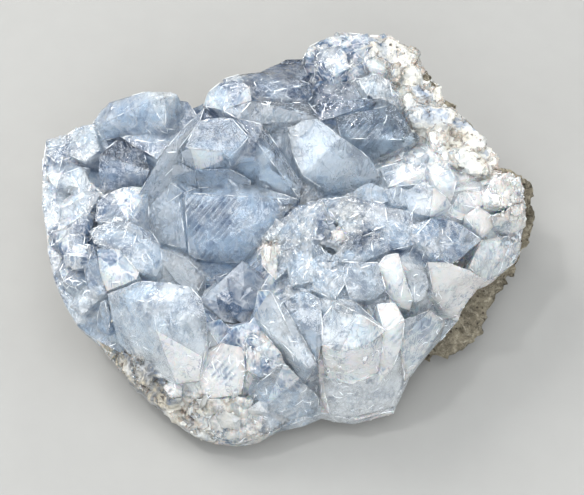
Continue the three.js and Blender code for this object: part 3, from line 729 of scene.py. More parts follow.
def growth_lines_group():
    """Parallel lines that a growing crystal leaves, broken up here and there."""
    inputs = [("Vector", "NodeSocketVector", None), ("Scale", "NodeSocketFloat", 300.0)]
    group, given, result = new_group("Growth lines", inputs, [("Height", "NodeSocketFloat")])
    across = vectors(group, "DOT_PRODUCT", given.outputs["Vector"], GROWTH_DIRECTION)
    apart = add_node(group, "ShaderNodeSeparateXYZ", {0: given.outputs["Vector"]})
    turned = add_node(
        group, "ShaderNodeCombineXYZ", {0: across, 1: apart.outputs[1], 2: apart.outputs[2]}
    )
    bands = add_node(
        group,
        "ShaderNodeTexWave",
        {
            "Vector": turned.outputs["Vector"],
            "Scale": given.outputs["Scale"],
            "Distortion": 0.8,
            "Detail": 2.0,
            "Detail Scale": 0.4,
        },
        bands_direction="X",
        wave_profile="SIN",
    )
    gaps = add_node(group, "ShaderNodeTexNoise", {"Vector": given.outputs["Vector"], "Scale": 220.0})
    shown = spread(group, gaps.outputs["Fac"], 0.36, 0.5)
    group.links.new(times(group, bands.outputs["Fac"], shown), result.inputs["Height"])
    return group


def grain_group():
    """Sugary grain: rounded grains with finer ones on them."""
    inputs = [("Vector", "NodeSocketVector", None), ("Scale", "NodeSocketFloat", 900.0)]
    group, given, result = new_group("Grain", inputs, [("Height", "NodeSocketFloat")])
    coarse = add_node(
        group,
        "ShaderNodeTexVoronoi",
        {"Vector": given.outputs["Vector"], "Scale": given.outputs["Scale"]},
        feature="SMOOTH_F1",
    )
    finer = times(group, given.outputs["Scale"], 2.7)
    fine = add_node(group, "ShaderNodeTexNoise", {"Vector": given.outputs["Vector"], "Scale": finer})
    raised = times(group, fine.outputs["Fac"], 0.5)
    height = maths(group, "SUBTRACT", raised, coarse.outputs["Distance"])
    group.links.new(height, result.inputs["Height"])
    return group


SHARED_GROUPS = {
    "Chipped faces": chipped_faces_group,
    "Inner structure": inner_structure_group,
    "Growth lines": growth_lines_group,
    "Grain": grain_group,
}


def new_material(name):
    """A material with its surface shader, and the place on the object."""
    material = bpy.data.materials.new(name)
    material.use_nodes = True
    tree = material.node_tree
    shader = tree.nodes["Principled BSDF"]
    place = tree.nodes.new("ShaderNodeTexCoord").outputs["Object"]
    return material, tree, shader, place


def bumped(tree, height, distance, before=None):
    """A normal that follows a height, in mm, on top of another normal."""
    inputs = {"Height": height, "Distance": distance * MM}
    if before is not None:
        inputs["Normal"] = before
    return add_node(tree, "ShaderNodeBump", inputs).outputs["Normal"]


def scatter_inside(shader):
    """Lets light spread a few millimetres inside cloudy crystal, the blue furthest."""
    shader.inputs["Subsurface Weight"].default_value = 1.0
    shader.inputs["Subsurface Radius"].default_value = (0.55, 0.8, 1.0)
    shader.inputs["Subsurface Scale"].default_value = 3.5 * MM


def celestite_tint(tree, settings, place, strength):
    """Colour of crystal: white to blue, and darker where the faces say, which is their own tone and in part
    painted shade and painted light, with blocks, stripes, clouds, streaks and crack lines inside it as strong
    as strength says; the white crack lines also serve as painted glints."""
    inside = use_group(tree, "Inner structure", place)
    lines = use_group(tree, "Growth lines", place)
    block = times(tree, maths(tree, "SUBTRACT", inside.outputs["Blocks"], 0.5), strength)
    milk = blend_colours(tree, kept(tree, "crusty"), (*settings.milk_colour, 1), (*settings.crust_colour, 1))
    striped = times(tree, lines.outputs["Height"], kept(tree, "lines"))
    # The kept shade darkens the crystal: its own tone, and in part painted shade and painted light.
    shade = maths(tree, "ADD", kept(tree, "shade"), block, clamp=True)
    shade = maths(tree, "ADD", shade, times(tree, striped, 0.7 * strength), clamp=True)
    blue = maths(tree, "SUBTRACT", kept(tree, "blue"), times(tree, block, 0.6), clamp=True)
    colour = blend_colours(tree, blue, milk, (*settings.blue_colour, 1))
    # Paling towards the palest face: its own white, and in part painted light.
    pale = spread(tree, kept(tree, "shade"), 0.0, PALEST)
    colour = blend_colours(tree, pale, colour, PALEST_FACE)
    colour = blend_colours(tree, shade, colour, (*settings.deep_colour, 1))
    worn = spread(tree, kept(tree, "grain"), 0.0, 0.7, 0.35 * strength, 0.9)
    clouded = times(tree, inside.outputs["Clouds"], worn)
    cloud = blend_colours(tree, kept(tree, "crusty"), CLOUD_WHITE, CRUST_CLOUD)
    colour = blend_colours(tree, clouded, colour, cloud)
    streaks = times(tree, inside.outputs["Streaks"], 0.6 * strength)
    colour = blend_colours(tree, streaks, colour, (*settings.deep_colour, 1))
    skin = spread(tree, kept(tree, "tan"), 0.5, 1.0, 0.0, 0.75)
    colour = blend_colours(tree, skin, colour, WEATHERED_SKIN)
    clear = spread(tree, kept(tree, "crusty"), 0.0, 1.0, 1.0, 0.3)
    shown = times(tree, clear, spread(tree, kept(tree, "grain"), 0.0, 0.25, 0.3, 1.0))
    # White crack lines: inner fractures, and painted glints as well.
    cracks_and_glints = times(tree, inside.outputs["Cracks and glints"], shown)
    return blend_colours(tree, cracks_and_glints, colour, CRACK_AND_GLINT_WHITE)


def glassy_celestite(name, settings, clearness, frost):
    """Crystal with glassy faces: pale blue inside, with chips, growth lines and a slight haze, and sharp
    edges whitened in patches, as chips and as painted highlight.
    """
    material, tree, shader, place = new_material(name)
    worn = kept(tree, "grain")
    edge = spread(tree, kept(tree, "edge"), 0.74, 0.95)
    facet = kept(tree, "facet_tone")
    colour = celestite_tint(tree, settings, place, 0.9)
    scratched = noise_at(tree, place, 0.8, 2.0, 0.7)
    # Sharp edges whitened in patches: chips, and painted highlight where edges catch light.
    edge_chips_and_highlight = times(tree, edge, spread(tree, scratched, 0.44, 0.58))
    colour = blend_colours(tree, times(tree, edge_chips_and_highlight, 0.8), colour, FRESH_WHITE_AND_GLINT)
    stain = noise_at(tree, place, 2.4, 2.0, 0.7)
    tan = times(tree, spread(tree, stain, 0.45, 0.65), kept(tree, "tan"), clamp=True)
    colour = blend_colours(tree, tan, colour, (*settings.stain_colour, 1))
    tree.links.new(colour, shader.inputs["Base Color"])
    shader.inputs["Transmission Weight"].default_value = clearness
    shader.inputs["IOR"].default_value = CRYSTAL_IOR
    blocks = use_group(tree, "Chipped faces", place, Scale=182.0)
    broad = use_group(tree, "Chipped faces", place, Scale=420.0)
    lines = use_group(tree, "Growth lines", place)
    broken = spread(tree, worn, 0.0, 0.7, 0.3, 1.2)
    waves = noise_at(tree, place, 2.2, 2.0, 0.6, 1.6)
    normal = bumped(tree, times(tree, waves, spread(tree, worn, 0.0, 0.3, 0.4, 1.0)), 0.5)
    normal = bumped(tree, blocks.outputs["Height"], 1.1, before=normal)
    normal = bumped(tree, times(tree, broad.outputs["Height"], broken), 1.2, before=normal)
    marks = times(tree, lines.outputs["Height"], kept(tree, "lines"))
    normal = bumped(tree, marks, 0.2, before=normal)
    tree.links.new(normal, shader.inputs["Normal"])
    haze = noise_at(tree, place, 4.0, 1.0, 0.6)
    hazy = spread(tree, haze, 0.4, 0.7, 0.0, 0.08)
    dull = maths(tree, "ADD", hazy, times(tree, facet, frost))
    dull = maths(tree, "ADD", dull, times(tree, edge_chips_and_highlight, 0.2))
    tree.links.new(dull, shader.inputs["Roughness"])
    if clearness < 0.5:
        scatter_inside(shader)
    body = add_node(tree, "ShaderNodeVolumeAbsorption")
    body.inputs["Color"].default_value = (*settings.crystal_colour, 1)
    body.inputs["Density"].default_value = settings.crystal_depth
    tree.links.new(body.outputs["Volume"], tree.nodes["Material Output"].inputs["Volume"])
    return material


def milky_celestite(settings):
    """The milky heart of the crystals and the sugary crust: white to blue, stained tan in places."""
    material, tree, shader, place = new_material("milky_celestite")
    worn = kept(tree, "grain")
    colour = celestite_tint(tree, settings, place, 1.0)
    stain = noise_at(tree, place, 4.6, 4.0, 0.66, 0.8)
    tan = times(tree, kept(tree, "tan"), 1.3)
    stained = times(tree, spread(tree, stain, 0.48, 0.66), tan, clamp=True)
    colour = blend_colours(tree, stained, colour, (*settings.stain_colour, 1))
    spots = noise_at(tree, place, 1.1, 3.0, 0.6)
    grimy = times(tree, spread(tree, spots, 0.58, 0.66), kept(tree, "tan"), clamp=True)
    colour = blend_colours(tree, times(tree, grimy, 0.4), colour, GRIME)
    tree.links.new(colour, shader.inputs["Base Color"])
    grain = use_group(tree, "Grain", place, Scale=1100.0)
    chips = use_group(tree, "Chipped faces", place, Scale=900.0)
    normal = bumped(tree, times(tree, grain.outputs["Height"], worn), 0.5)
    normal = bumped(tree, times(tree, chips.outputs["Height"], worn), 0.5, before=normal)
    tree.links.new(normal, shader.inputs["Normal"])
    tree.links.new(spread(tree, stain, 0.3, 0.7, 0.25, 0.6), shader.inputs["Roughness"])
    shader.inputs["IOR"].default_value = CRYSTAL_IOR
    return material


def weathered_marl(settings):
    """Dull tan marl with brown and black specks, paler where it is freshly broken."""
    material, tree, shader, place = new_material("weathered_marl")
    broad = noise_at(tree, place, 7.0, 5.0, 0.65, 0.5)
    fine = noise_at(tree, place, 1.2, 5.0, 0.7)
    colour = blend_colours(
        tree, spread(tree, broad, 0.40, 0.60), (*settings.marl_colour, 1), (*settings.marl_shade, 1)
    )
    colour = blend_colours(tree, spread(tree, fine, 0.5, 0.72, 0.0, 0.8), colour, FRESH_MARL)
    specks = add_node(tree, "ShaderNodeTexVoronoi", {"Vector": place, "Scale": 900.0, "Randomness": 1.0})
    rare = add_node(tree, "ShaderNodeSeparateColor", {0: specks.outputs["Color"]}).outputs[0]
    round_speck = spread(tree, specks.outputs["Distance"], 0.3, 0.2)
    dark = times(tree, round_speck, spread(tree, rare, 0.74, 0.78))
    colour = blend_colours(tree, times(tree, dark, 0.85), colour, MARL_SPECK)
    tree.links.new(colour, shader.inputs["Base Color"])
    grain = use_group(tree, "Grain", place, Scale=1400.0)
    normal = bumped(tree, noise_at(tree, place, 2.6, 4.0, 0.7, 0.6), 2.4)
    normal = bumped(tree, fine, 1.4, before=normal)
    normal = bumped(tree, grain.outputs["Height"], 0.4, before=normal)
    tree.links.new(normal, shader.inputs["Normal"])
    tree.links.new(spread(tree, fine, 0.3, 0.7, 0.75, 0.98), shader.inputs["Roughness"])
    shader.inputs["Specular IOR Level"].default_value = 0.3
    return material


def loose_celestite(name, settings, clearness, smooth):
    """Chips and grains: cloudy crystal, whiter and stained at the rims."""
    material, tree, shader, place = new_material(name)
    colour = celestite_tint(tree, settings, place, 0.7)
    tint = kept(tree, "tint")
    white = spread(tree, kept(tree, "blue"), 0.6, 0.3)
    paler = times(tree, spread(tree, tint, 0.3, 1.0, 0.3, 0.0), white)
    colour = blend_colours(tree, paler, colour, (*settings.crust_colour, 1))
    tan = times(tree, kept(tree, "tan"), 1.4)
    stained = times(tree, spread(tree, tint, 0.4, 0.9), tan, clamp=True)
    colour = blend_colours(tree, stained, colour, (*settings.stain_colour, 1))
    tree.links.new(colour, shader.inputs["Base Color"])
    shader.inputs["Transmission Weight"].default_value = clearness
    shader.inputs["IOR"].default_value = CRYSTAL_IOR
    chips = use_group(tree, "Chipped faces", place, Scale=2400.0)
    tree.links.new(bumped(tree, chips.outputs["Height"], 0.08), shader.inputs["Normal"])
    haze = noise_at(tree, place, 1.5, 3.0)
    tree.links.new(spread(tree, haze, 0.3, 0.7, smooth, smooth + 0.2), shader.inputs["Roughness"])
    return material


def fracture_and_glint_white():
    """Fresh breaks: bright white, partly the white of the breaks and partly painted glint, with a gloss of
    their own.
    """
    material, tree, shader, place = new_material("fracture_and_glint_white")
    uneven = noise_at(tree, place, 0.6, 3.0, 0.6)
    colour = blend_colours(tree, spread(tree, uneven, 0.4, 0.7), FRESH_WHITE_AND_GLINT, BREAK_SHADE)
    tree.links.new(colour, shader.inputs["Base Color"])
    tree.links.new(bumped(tree, uneven, 0.1), shader.inputs["Normal"])
    tree.links.new(spread(tree, uneven, 0.3, 0.7, 0.12, 0.3), shader.inputs["Roughness"])
    shader.inputs["IOR"].default_value = CRYSTAL_IOR
    return material


# How far the crystals reach in each direction, which is measured once.
REACH = outline_reach()


# What the settings for a colour, and those for the fineness of a mesh, have in common.
COLOUR_SETTING = {"subtype": "COLOR", "size": 3, "min": 0, "max": 1}
GRID_SETTING = {"subtype": "DISTANCE", "unit": "LENGTH", "min": 0.0003, "max": 0.003}


class ClusterSettings(bpy.types.PropertyGroup):
    """Sizes and colours of the cluster's finish."""

    crystal_colour: bpy.props.FloatVectorProperty(
        name="Crystal colour",
        description="Colour that white light takes on inside the clear crystals",
        default=(0.70, 0.81, 0.92),
        **COLOUR_SETTING,
    )
    crystal_depth: bpy.props.FloatProperty(
        name="Crystal colour depth",
        description="How quickly the colour deepens inside the crystals, for each metre",
        min=0,
        max=500,
        default=50.0,
    )
    crust_colour: bpy.props.FloatVectorProperty(
        name="Crust colour",
        description="Colour of the clean massive crust",
        default=(0.61, 0.59, 0.51),
        **COLOUR_SETTING,
    )
    stain_colour: bpy.props.FloatVectorProperty(
        name="Stain colour",
        description="Colour of the stains on the crust",
        default=(0.48, 0.43, 0.33),
        **COLOUR_SETTING,
    )
    marl_colour: bpy.props.FloatVectorProperty(
        name="Marl colour",
        description="Main colour of the marl",
        default=(0.42, 0.375, 0.28),
        **COLOUR_SETTING,
    )
    marl_shade: bpy.props.FloatVectorProperty(
        name="Marl shade",
        description="Colour of the darker patches of the marl",
        default=(0.16, 0.14, 0.10),
        **COLOUR_SETTING,
    )
    milk_colour: bpy.props.FloatVectorProperty(
        name="Milk colour",
        description="Colour of the palest crystal",
        default=(0.79, 0.845, 0.865),
        **COLOUR_SETTING,
    )
    blue_colour: bpy.props.FloatVectorProperty(
        name="Blue colour",
        description="Colour of the bluest crystal",
        default=(0.58, 0.71, 0.85),
        **COLOUR_SETTING,
    )
    deep_colour: bpy.props.FloatVectorProperty(
        name="Deep colour",
        description="Colour of the darkest crystal",
        default=(0.14, 0.21, 0.33),
        **COLOUR_SETTING,
    )
    broken_grid: bpy.props.FloatProperty(
        name="Broken face grid",
        description="Longest edge of the mesh where the crystals are broken",
        default=0.0006,
        **GRID_SETTING,
    )
    face_grid: bpy.props.FloatProperty(
        name="Crystal face grid",
        description="Longest edge of the mesh on the crystal faces",
        default=0.0012,
        **GRID_SETTING,
    )
    heart_grid: bpy.props.FloatProperty(
        name="Heart grid",
        description="Size of the cells that the milky heart is shaped from",
        default=0.00068,
        **GRID_SETTING,
    )
    marl_grid: bpy.props.FloatProperty(
        name="Marl grid",
        description="Longest edge of the mesh on the marl",
        default=0.0009,
        **GRID_SETTING,
    )
    floor_colour: bpy.props.FloatVectorProperty(
        name="Floor colour",
        description="Colour of the studio floor",
        default=(0.30, 0.30, 0.29),
        **COLOUR_SETTING,
    )


def keep_breaks(mesh, places, grain):
    """Keeps for each vertex how broken it is, and how near it is to growth lines."""
    store(mesh, "grain", grain)
    store(mesh, "lines", nearness(places, LINED))
    store(mesh, "crusty", np.clip((grain - 0.5) / 0.3, 0, 1))


def keep_looks(mesh, places, outside):
    """Keeps for each vertex what INSIDE says of its place. Places on the outer wall are plain crust."""
    looks = insides_at(places)
    store(mesh, "shade", looks[:, 1] * (1 - outside) + WALL_SHADE * outside)
    store(mesh, "blue", looks[:, 2] * (1 - outside))
    store(mesh, "tan", looks[:, 3] * (1 - outside) + WALL_STAIN * outside)
    keep_breaks(mesh, places, looks[:, 4] * (1 - outside) + outside)


class CLUSTER_OT_clear_crystals(bpy.types.Operator):
    """Make the clear crystals: glassy faces with chips, steps and growth lines"""

    bl_idname = "cluster.clear_crystals"
    bl_label = "Clear crystals"

    def execute(self, context):
        settings = context.scene.cluster
        coarse = 1

        def limit(middles):
            broken = insides_at(middles)[:, 4] > BROKEN
            return np.where(broken, settings.broken_grid, settings.face_grid) * coarse

        mesh = fine_copy("celestite_crystals", "clear_crystals", limit, smoothed=0.1)
        places = vertex_places(mesh)
        normals = vertex_normals(mesh)
        looks = insides_at(places)
        broken = np.clip((looks[:, 4] - 0.25) / 0.5, 0, 1)
        height = broken_relief(places, 2.8 * MM, 11, tilt=1.1, step=0.25)
        height += broken_relief(places, 1.3 * MM, 12, tilt=0.5, step=0.1)
        shown = np.clip(normals[:, 2] * 3, 0, 1)
        height = height * broken * shown + rough(places, 7 * MM, 13, octaves=2) * 0.06 * shown - 0.03
        move_vertices(mesh, places + normals * (height * MM)[:, None])
        number, middle = facets_of(mesh)
        own = hashed(np.stack([number, number, number], axis=1).astype(np.int64), 14, 3)
        facet = insides_at(middle)
        tone = np.clip(facet[:, 1] + (own[:, 0] - 0.5) * TONE_SPREAD, PALEST, 1)
        store(mesh, "shade", tone, "FACE")
        store(mesh, "blue", np.clip(facet[:, 2] + (own[:, 1] - 0.5) * BLUE_SPREAD, 0, 1), "FACE")
        store(mesh, "tan", facet[:, 3], "FACE")
        store(mesh, "facet_tone", own[:, 2], "FACE")
        keep_breaks(mesh, places, looks[:, 4])
        mesh.shade_smooth()
        mesh.set_sharp_from_angle(angle=math.radians(12))
        finishes = [
            glassy_celestite("clear_celestite", settings, clearness=0.92, frost=0.01),
            glassy_celestite("cloudy_celestite", settings, clearness=0.70, frost=0.05),
            glassy_celestite("frosted_celestite", settings, clearness=0.42, frost=0.12),
        ]
        piece = piece_of(mesh, finishes)
        depth = facet[:, 0] + (own[:, 2] - 0.5) * DEPTH_SPREAD
        mesh.polygons.foreach_set("material_index", np.digitize(-depth, FINISH_STEPS).astype(np.int32))
        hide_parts("celestite_crystals")
        return {"FINISHED"}


class CLUSTER_OT_massive_crust(bpy.types.Operator):
    """Make the milky celestite: the heart inside the crystals and the sugary crust at the rims"""

    bl_idname = "cluster.massive_crust"
    bl_label = "Massive crust"

    def execute(self, context):
        settings = context.scene.cluster
        pitch = settings.heart_grid * 1
        tree = surface_tree("celestite_crystals")
        low, high = (np.array(corner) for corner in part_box("celestite_crystals"))
        low, high = low - 3 * pitch, high + 3 * pitch
        depth, cells, points, facing = depth_grid(tree, low, high, pitch, deepest=9 * MM, proud=0.9 * MM)
        looks = insides_at(points)
        wall = outer_wall(points, facing)
        grain = looks[:, 4] * (1 - wall) + wall
        cover = looks[:, 0] * (1 - wall) + wall * 0.1
        broken = np.clip((grain - 0.2) / 0.6, 0, 1)
        relief = broken_relief(points, 3.4 * MM, 21, tilt=0.9, step=0.35) * broken
        relief += broken_relief(points, 1.5 * MM, 22, tilt=0.6, step=0.25) * broken
        relief += rough(points, 2.2 * MM, 23) * 0.22 * grain
        relief *= 1 - 0.7 * np.clip((grain - 0.7) / 0.2, 0, 1)
        relief += broken_relief(points, 6 * MM, 24, tilt=0.8, step=0.25) * np.clip(cover, 0, 2.4)
        cover = np.where(cover > 0, cover * 0.55, cover)
        least = np.where(cover > 0.15, 0.4 * cover + 0.1, -0.7)
        surface = np.clip(cover + relief, least, 7.5) * MM
        field = np.full(depth.shape, -1.0)
        field[tuple(cells.T)] = depth[tuple(cells.T)] - surface
        vertices, faces = surface_of(field, low, pitch)
        mesh = mesh_of("massive_crust", vertices, faces)
        normals = vertex_normals(mesh)
        keep_looks(mesh, vertices, outer_wall(vertices, normals))
        mesh.shade_smooth()
        mesh.set_sharp_from_angle(angle=math.radians(38))
        piece_of(mesh, [milky_celestite(settings)])
        return {"FINISHED"}


class CLUSTER_OT_loose_crystals(bpy.types.Operator):
    """Make the broken chips and the white ridges on the crystals, whose white is partly painted glint, and
    the sugary grains on the crust
    """

    bl_idname = "cluster.loose_crystals"
    bl_label = "Chips, grains and ridges"

    def execute(self, context):
        settings = context.scene.cluster
        random = np.random.default_rng(31)
        tree = surface_tree("celestite_crystals")
        feet = feet_in(tree, CHIP_PATCHES, random, least=0.35) + feet_over(tree, POCKETS, random)
        finish = loose_celestite("chipped_celestite", settings, clearness=0.6, smooth=0.08)
        self.grow("crystal_chips", feet, CHIP_HABIT, random, finish)
        feet = feet_in(tree, GRAIN_PATCHES, random, least=0.7) + feet_on_wall(tree, WALL_GRAINS, random)
        finish = loose_celestite("sugary_celestite", settings, clearness=0.2, smooth=0.25)
        self.grow("sugar_grains", feet, GRAIN_HABIT, random, finish)
        self.ridge(tree, random)
        return {"FINISHED"}

    def ridge(self, tree, random):
        """Makes one piece of the white ridges that breaks and knocks have left, whose white also serves as
        painted glints and painted edge highlights.
        """
        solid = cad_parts["celestite_crystals"].data
        breaks, break_faces = ridge_strips(fracture_and_glint_ridges(tree, solid, RIDGE_PLACES, random))
        chips, chip_faces = ridge_strips(worn_and_glinting_edges(solid, CHIPPED_AND_GLINTING_EDGES, random))
        faces = np.concatenate([break_faces, chip_faces + len(breaks)])
        mesh = mesh_of("fracture_and_glint_ridges", np.concatenate([breaks, chips]), faces)
        mesh.shade_smooth()
        mesh.set_sharp_from_angle(angle=math.radians(80))
        piece_of(mesh, [fracture_and_glint_white()])

    def grow(self, name, feet, habit, random, finish):
        """Makes one piece of many small crystals."""
        normals = np.array([foot[1] for foot in feet])
        vertices, faces, tints = grown_crystals(feet, habit, random)
        mesh = mesh_of(name, vertices, faces)
        mesh.shade_flat()
        outside = outer_wall(np.array([foot[0] for foot in feet]), normals)
        keep_looks(mesh, vertices, np.repeat(outside, len(TINY_SHAPE)))
        store(mesh, "tint", tints)
        piece_of(mesh, [finish])


class CLUSTER_OT_marl(bpy.types.Operator):
    """Make the weathered marl under the crystals and along the right rim"""

    bl_idname = "cluster.marl"
    bl_label = "Marl"

    def execute(self, context):
        settings = context.scene.cluster
        longest = settings.marl_grid * 1

        def limit(middles):
            return np.full(len(middles), longest)

        mesh = fine_copy("marl_matrix", "marl_rock", limit, smoothed=0.5)
        places = vertex_places(mesh)
        normals = vertex_normals(mesh)
        height = rough(places, 5 * MM, 42, octaves=4) * 0.7
        height = height + broken_relief(places, 3.2 * MM, 41, tilt=1.2) - 0.15
        height += broken_relief(places, 1.4 * MM, 43, tilt=0.6)
        level = np.clip(places[:, 2] / (1.5 * MM), 0.08, 1)
        move_vertices(mesh, places + normals * (height * level * MM)[:, None])
        mesh.shade_smooth()
        mesh.set_sharp_from_angle(angle=math.radians(40))
        piece = piece_of(mesh, [weathered_marl(settings)])
        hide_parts("marl_matrix")
        return {"FINISHED"}


class CLUSTER_OT_stage(bpy.types.Operator):
    """Set the floor, the lights and the camera"""

    bl_idname = "cluster.stage"
    bl_label = "Floor, lights and camera"

    def execute(self, context):
        settings = context.scene.cluster
        scene = context.scene
        made = bmesh.new()
        bmesh.ops.create_grid(made, x_segments=2, y_segments=2, size=FLOOR_REACH)
        mesh = bpy.data.meshes.new("floor")
        made.to_mesh(mesh)
        made.free()
        floor = bpy.data.objects.new("floor", mesh)
        scene.collection.objects.link(floor)
        material, tree, shader, place = new_material("studio_floor")
        fine = noise_at(tree, place, 6.0, 4.0)
        colour = (*settings.floor_colour, 1)
        darker = tuple(0.93 * c for c in settings.floor_colour) + (1,)
        tree.links.new(blend_colours(tree, fine, colour, darker), shader.inputs["Base Color"])
        shader.inputs["Roughness"].default_value = 0.9
        mesh.materials.append(material)

        world = bpy.data.worlds.new("soft_room")
        world.use_nodes = True
        world.node_tree.nodes["Background"].inputs["Color"].default_value = ROOM_COLOUR
        world.node_tree.nodes["Background"].inputs["Strength"].default_value = ROOM_STRENGTH
        scene.world = world
        for name, place, size, power, colour in SOFTBOXES:
            data = bpy.data.lights.new(name, "AREA")
            data.shape = "RECTANGLE"
            data.size, data.size_y = size
            data.energy = power
            data.color = colour
            light = bpy.data.objects.new(name, data)
            light.location = place
            light.rotation_euler = (-Vector(place)).to_track_quat("-Z", "Y").to_euler()
            scene.collection.objects.link(light)

        lens = bpy.data.cameras.new("camera")
        lens.sensor_width = SENSOR
        lens.lens = FOCUS / PHOTO_WIDTH * SENSOR
        lens.clip_start, lens.clip_end = 0.01, 20
        camera = bpy.data.objects.new("camera", lens)
        camera.location = EYE
        camera.rotation_euler = (math.pi / 2 - VIEW_ELEVATION, 0, 0)
        scene.collection.objects.link(camera)
        scene.camera = camera
        scene.view_settings.view_transform = "Standard"
        return {"FINISHED"}


# Each softbox: its name, its place and size in metres, its power in watts and its colour.
SOFTBOXES = [
    ("key", (-0.38, 0.30, 0.55), (0.34, 0.34), 4.2, (1.0, 0.98, 0.96)),
    ("top", (0.05, -0.05, 0.75), (0.5, 0.5), 3.0, (1.0, 1.0, 1.0)),
    ("front", (-0.10, -0.55, 0.50), (0.5, 0.4), 3.3, (0.98, 0.99, 1.0)),
    ("fill", (0.55, -0.20, 0.40), (0.4, 0.4), 1.7, (0.94, 0.97, 1.0)),
    ("side", (-0.60, -0.15, 0.30), (0.3, 0.3), 1.2, (0.95, 0.98, 1.0)),
    ("back", (0.20, 0.60, 0.40), (0.4, 0.3), 1.7, (1.0, 1.0, 1.0)),
    ("glint", (-0.22, 0.02, 0.62), (0.05, 0.05), 1.0, (1.0, 1.0, 1.0)),
]

# The corners of a tiny crystal, as shares of half its width across and of its length upwards: a wide
# foot, a shoulder, and a chisel edge on top.
TINY_SHAPE = np.array(
    [
        (0.8, 0, -0.6), (0.3, 0.55, -0.6), (-0.7, 0.35, -0.6), (-0.7, -0.35, -0.6), (0.3, -0.55, -0.6),
        (1, 0, 0.6), (0.35, 0.66, 0.62), (-0.85, 0.4, 0.58), (-0.8, -0.45, 0.62), (0.4, -0.66, 0.6),
        (0.5, 0.08, 1), (-0.45, -0.05, 0.95),
    ]
)
TINY_FACES = np.array(
    [
        (0, 1, 6), (0, 6, 5), (1, 2, 7), (1, 7, 6), (2, 3, 8), (2, 8, 7), (3, 4, 9), (3, 9, 8),
        (4, 0, 5), (4, 5, 9), (5, 6, 10), (6, 7, 11), (6, 11, 10), (7, 8, 11), (8, 9, 11),
        (9, 10, 11), (9, 5, 10), (0, 2, 1), (0, 3, 2), (0, 4, 3),
    ]
)


def spot_in(half_u, half_v, random):
    """A random place in an ellipse, from its middle."""
    angle, reach = random.uniform(0, 2 * math.pi), math.sqrt(random.uniform(0, 1))
    return half_u * reach * math.cos(angle), half_v * reach * math.sin(angle)


def feet_in(tree, patches, random, least):
    """Feet for small crystals in patches of the photograph: the place, the normal there, and the width.
    Places that are less broken than least stay bare."""
    feet = []
    for column, row, half_u, half_v, count, small, large in patches.values():
        for _ in range(count):
            across, down = spot_in(half_u, half_v, random)
            line = sight_line(column + across, row + down)
            hit, normal, _, _ = tree.ray_cast(Vector(EYE), line)
            if hit is not None:
                feet.append((hit, normal, small + (large - small) * random.uniform(0, 1) ** 2))
    broken = insides_at(np.array([foot[0] for foot in feet]))[:, 4]
    return [foot for foot, share in zip(feet, broken) if share > least]


def feet_on_wall(tree, count, random):
    """Feet for small crystals all round the outer wall."""
    low, high = (np.array(corner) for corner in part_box("celestite_crystals"))
    middle = (low + high) / 2
    feet = []
    for _ in range(count):
        angle = random.uniform(0, 2 * math.pi)
        start = middle + np.array([math.cos(angle), math.sin(angle), 0]) * (high - low).max()
        start[2] = random.uniform(low[2], high[2])
        inward = middle - start
        inward[2] = random.uniform(-0.02, 0.01)
        hit, normal, _, _ = tree.ray_cast(Vector(start), Vector(inward).normalized())
        if hit is None or np.array(normal) @ -AHEAD > 0.25:
            continue
        width = random.uniform(0.6, 1.5)
        tip = hit + normal * width * MM
        if tree.ray_cast(tip, Vector(EYE) - tip)[0] is not None:
            feet.append((hit, normal, width))
    return feet


def feet_over(tree, pockets, random):
    """Feet for crystals that fill a pocket, level with what is round it."""
    feet = []
    for column, row, half_u, half_v, count, small, large, sunk in pockets.values():
        ring = []
        for angle in np.arange(0, 2 * math.pi, math.pi / 6):
            reach = large / 2 * PIXELS_PER_MM * 0.8
            across, down = (half_u + reach) * math.cos(angle), (half_v + reach) * math.sin(angle)
            line = sight_line(column + across, row + down)
            ring.append(tree.ray_cast(Vector(EYE), line)[:2])
        level = np.mean([hit for hit, normal in ring if hit is not None], axis=0)
        normal = Vector(np.mean([normal for hit, normal in ring if hit is not None], axis=0)).normalized()
        for _ in range(count):
            across, upward = (part / PIXELS_PER_MM * MM for part in spot_in(half_u, half_v, random))
            width = random.uniform(small, large)
            place = level + np.array([across, 0, 0]) + UPWARD * upward - np.array(normal) * sunk * MM
            feet.append((Vector(place), normal, width))
    return feet


def ridge_strips(paths):
    """Thin closed strips with a raised middle line, pointed at both ends, as vertices and triangles. Each
    path gives, for each of its points, the left side, the top and the right side."""
    count, length = paths.shape[:2]
    vertices = paths.reshape(-1, 3)
    first = np.arange(count)[:, None] * length * 3
    here = (first + np.arange(length - 1)[None] * 3).reshape(-1, 1)
    left, right, base = (here + np.array([side]) for side in ((0, 1, 4, 3), (1, 2, 5, 4), (0, 3, 5, 2)))
    sides = np.concatenate([left, right, base])
    last = first + (length - 1) * 3
    ends = np.concatenate([first + np.array([[0, 2, 1]]), last + np.array([[0, 1, 2]])])
    return vertices, np.concatenate([sides[:, [0, 1, 2]], sides[:, [0, 2, 3]], ends])


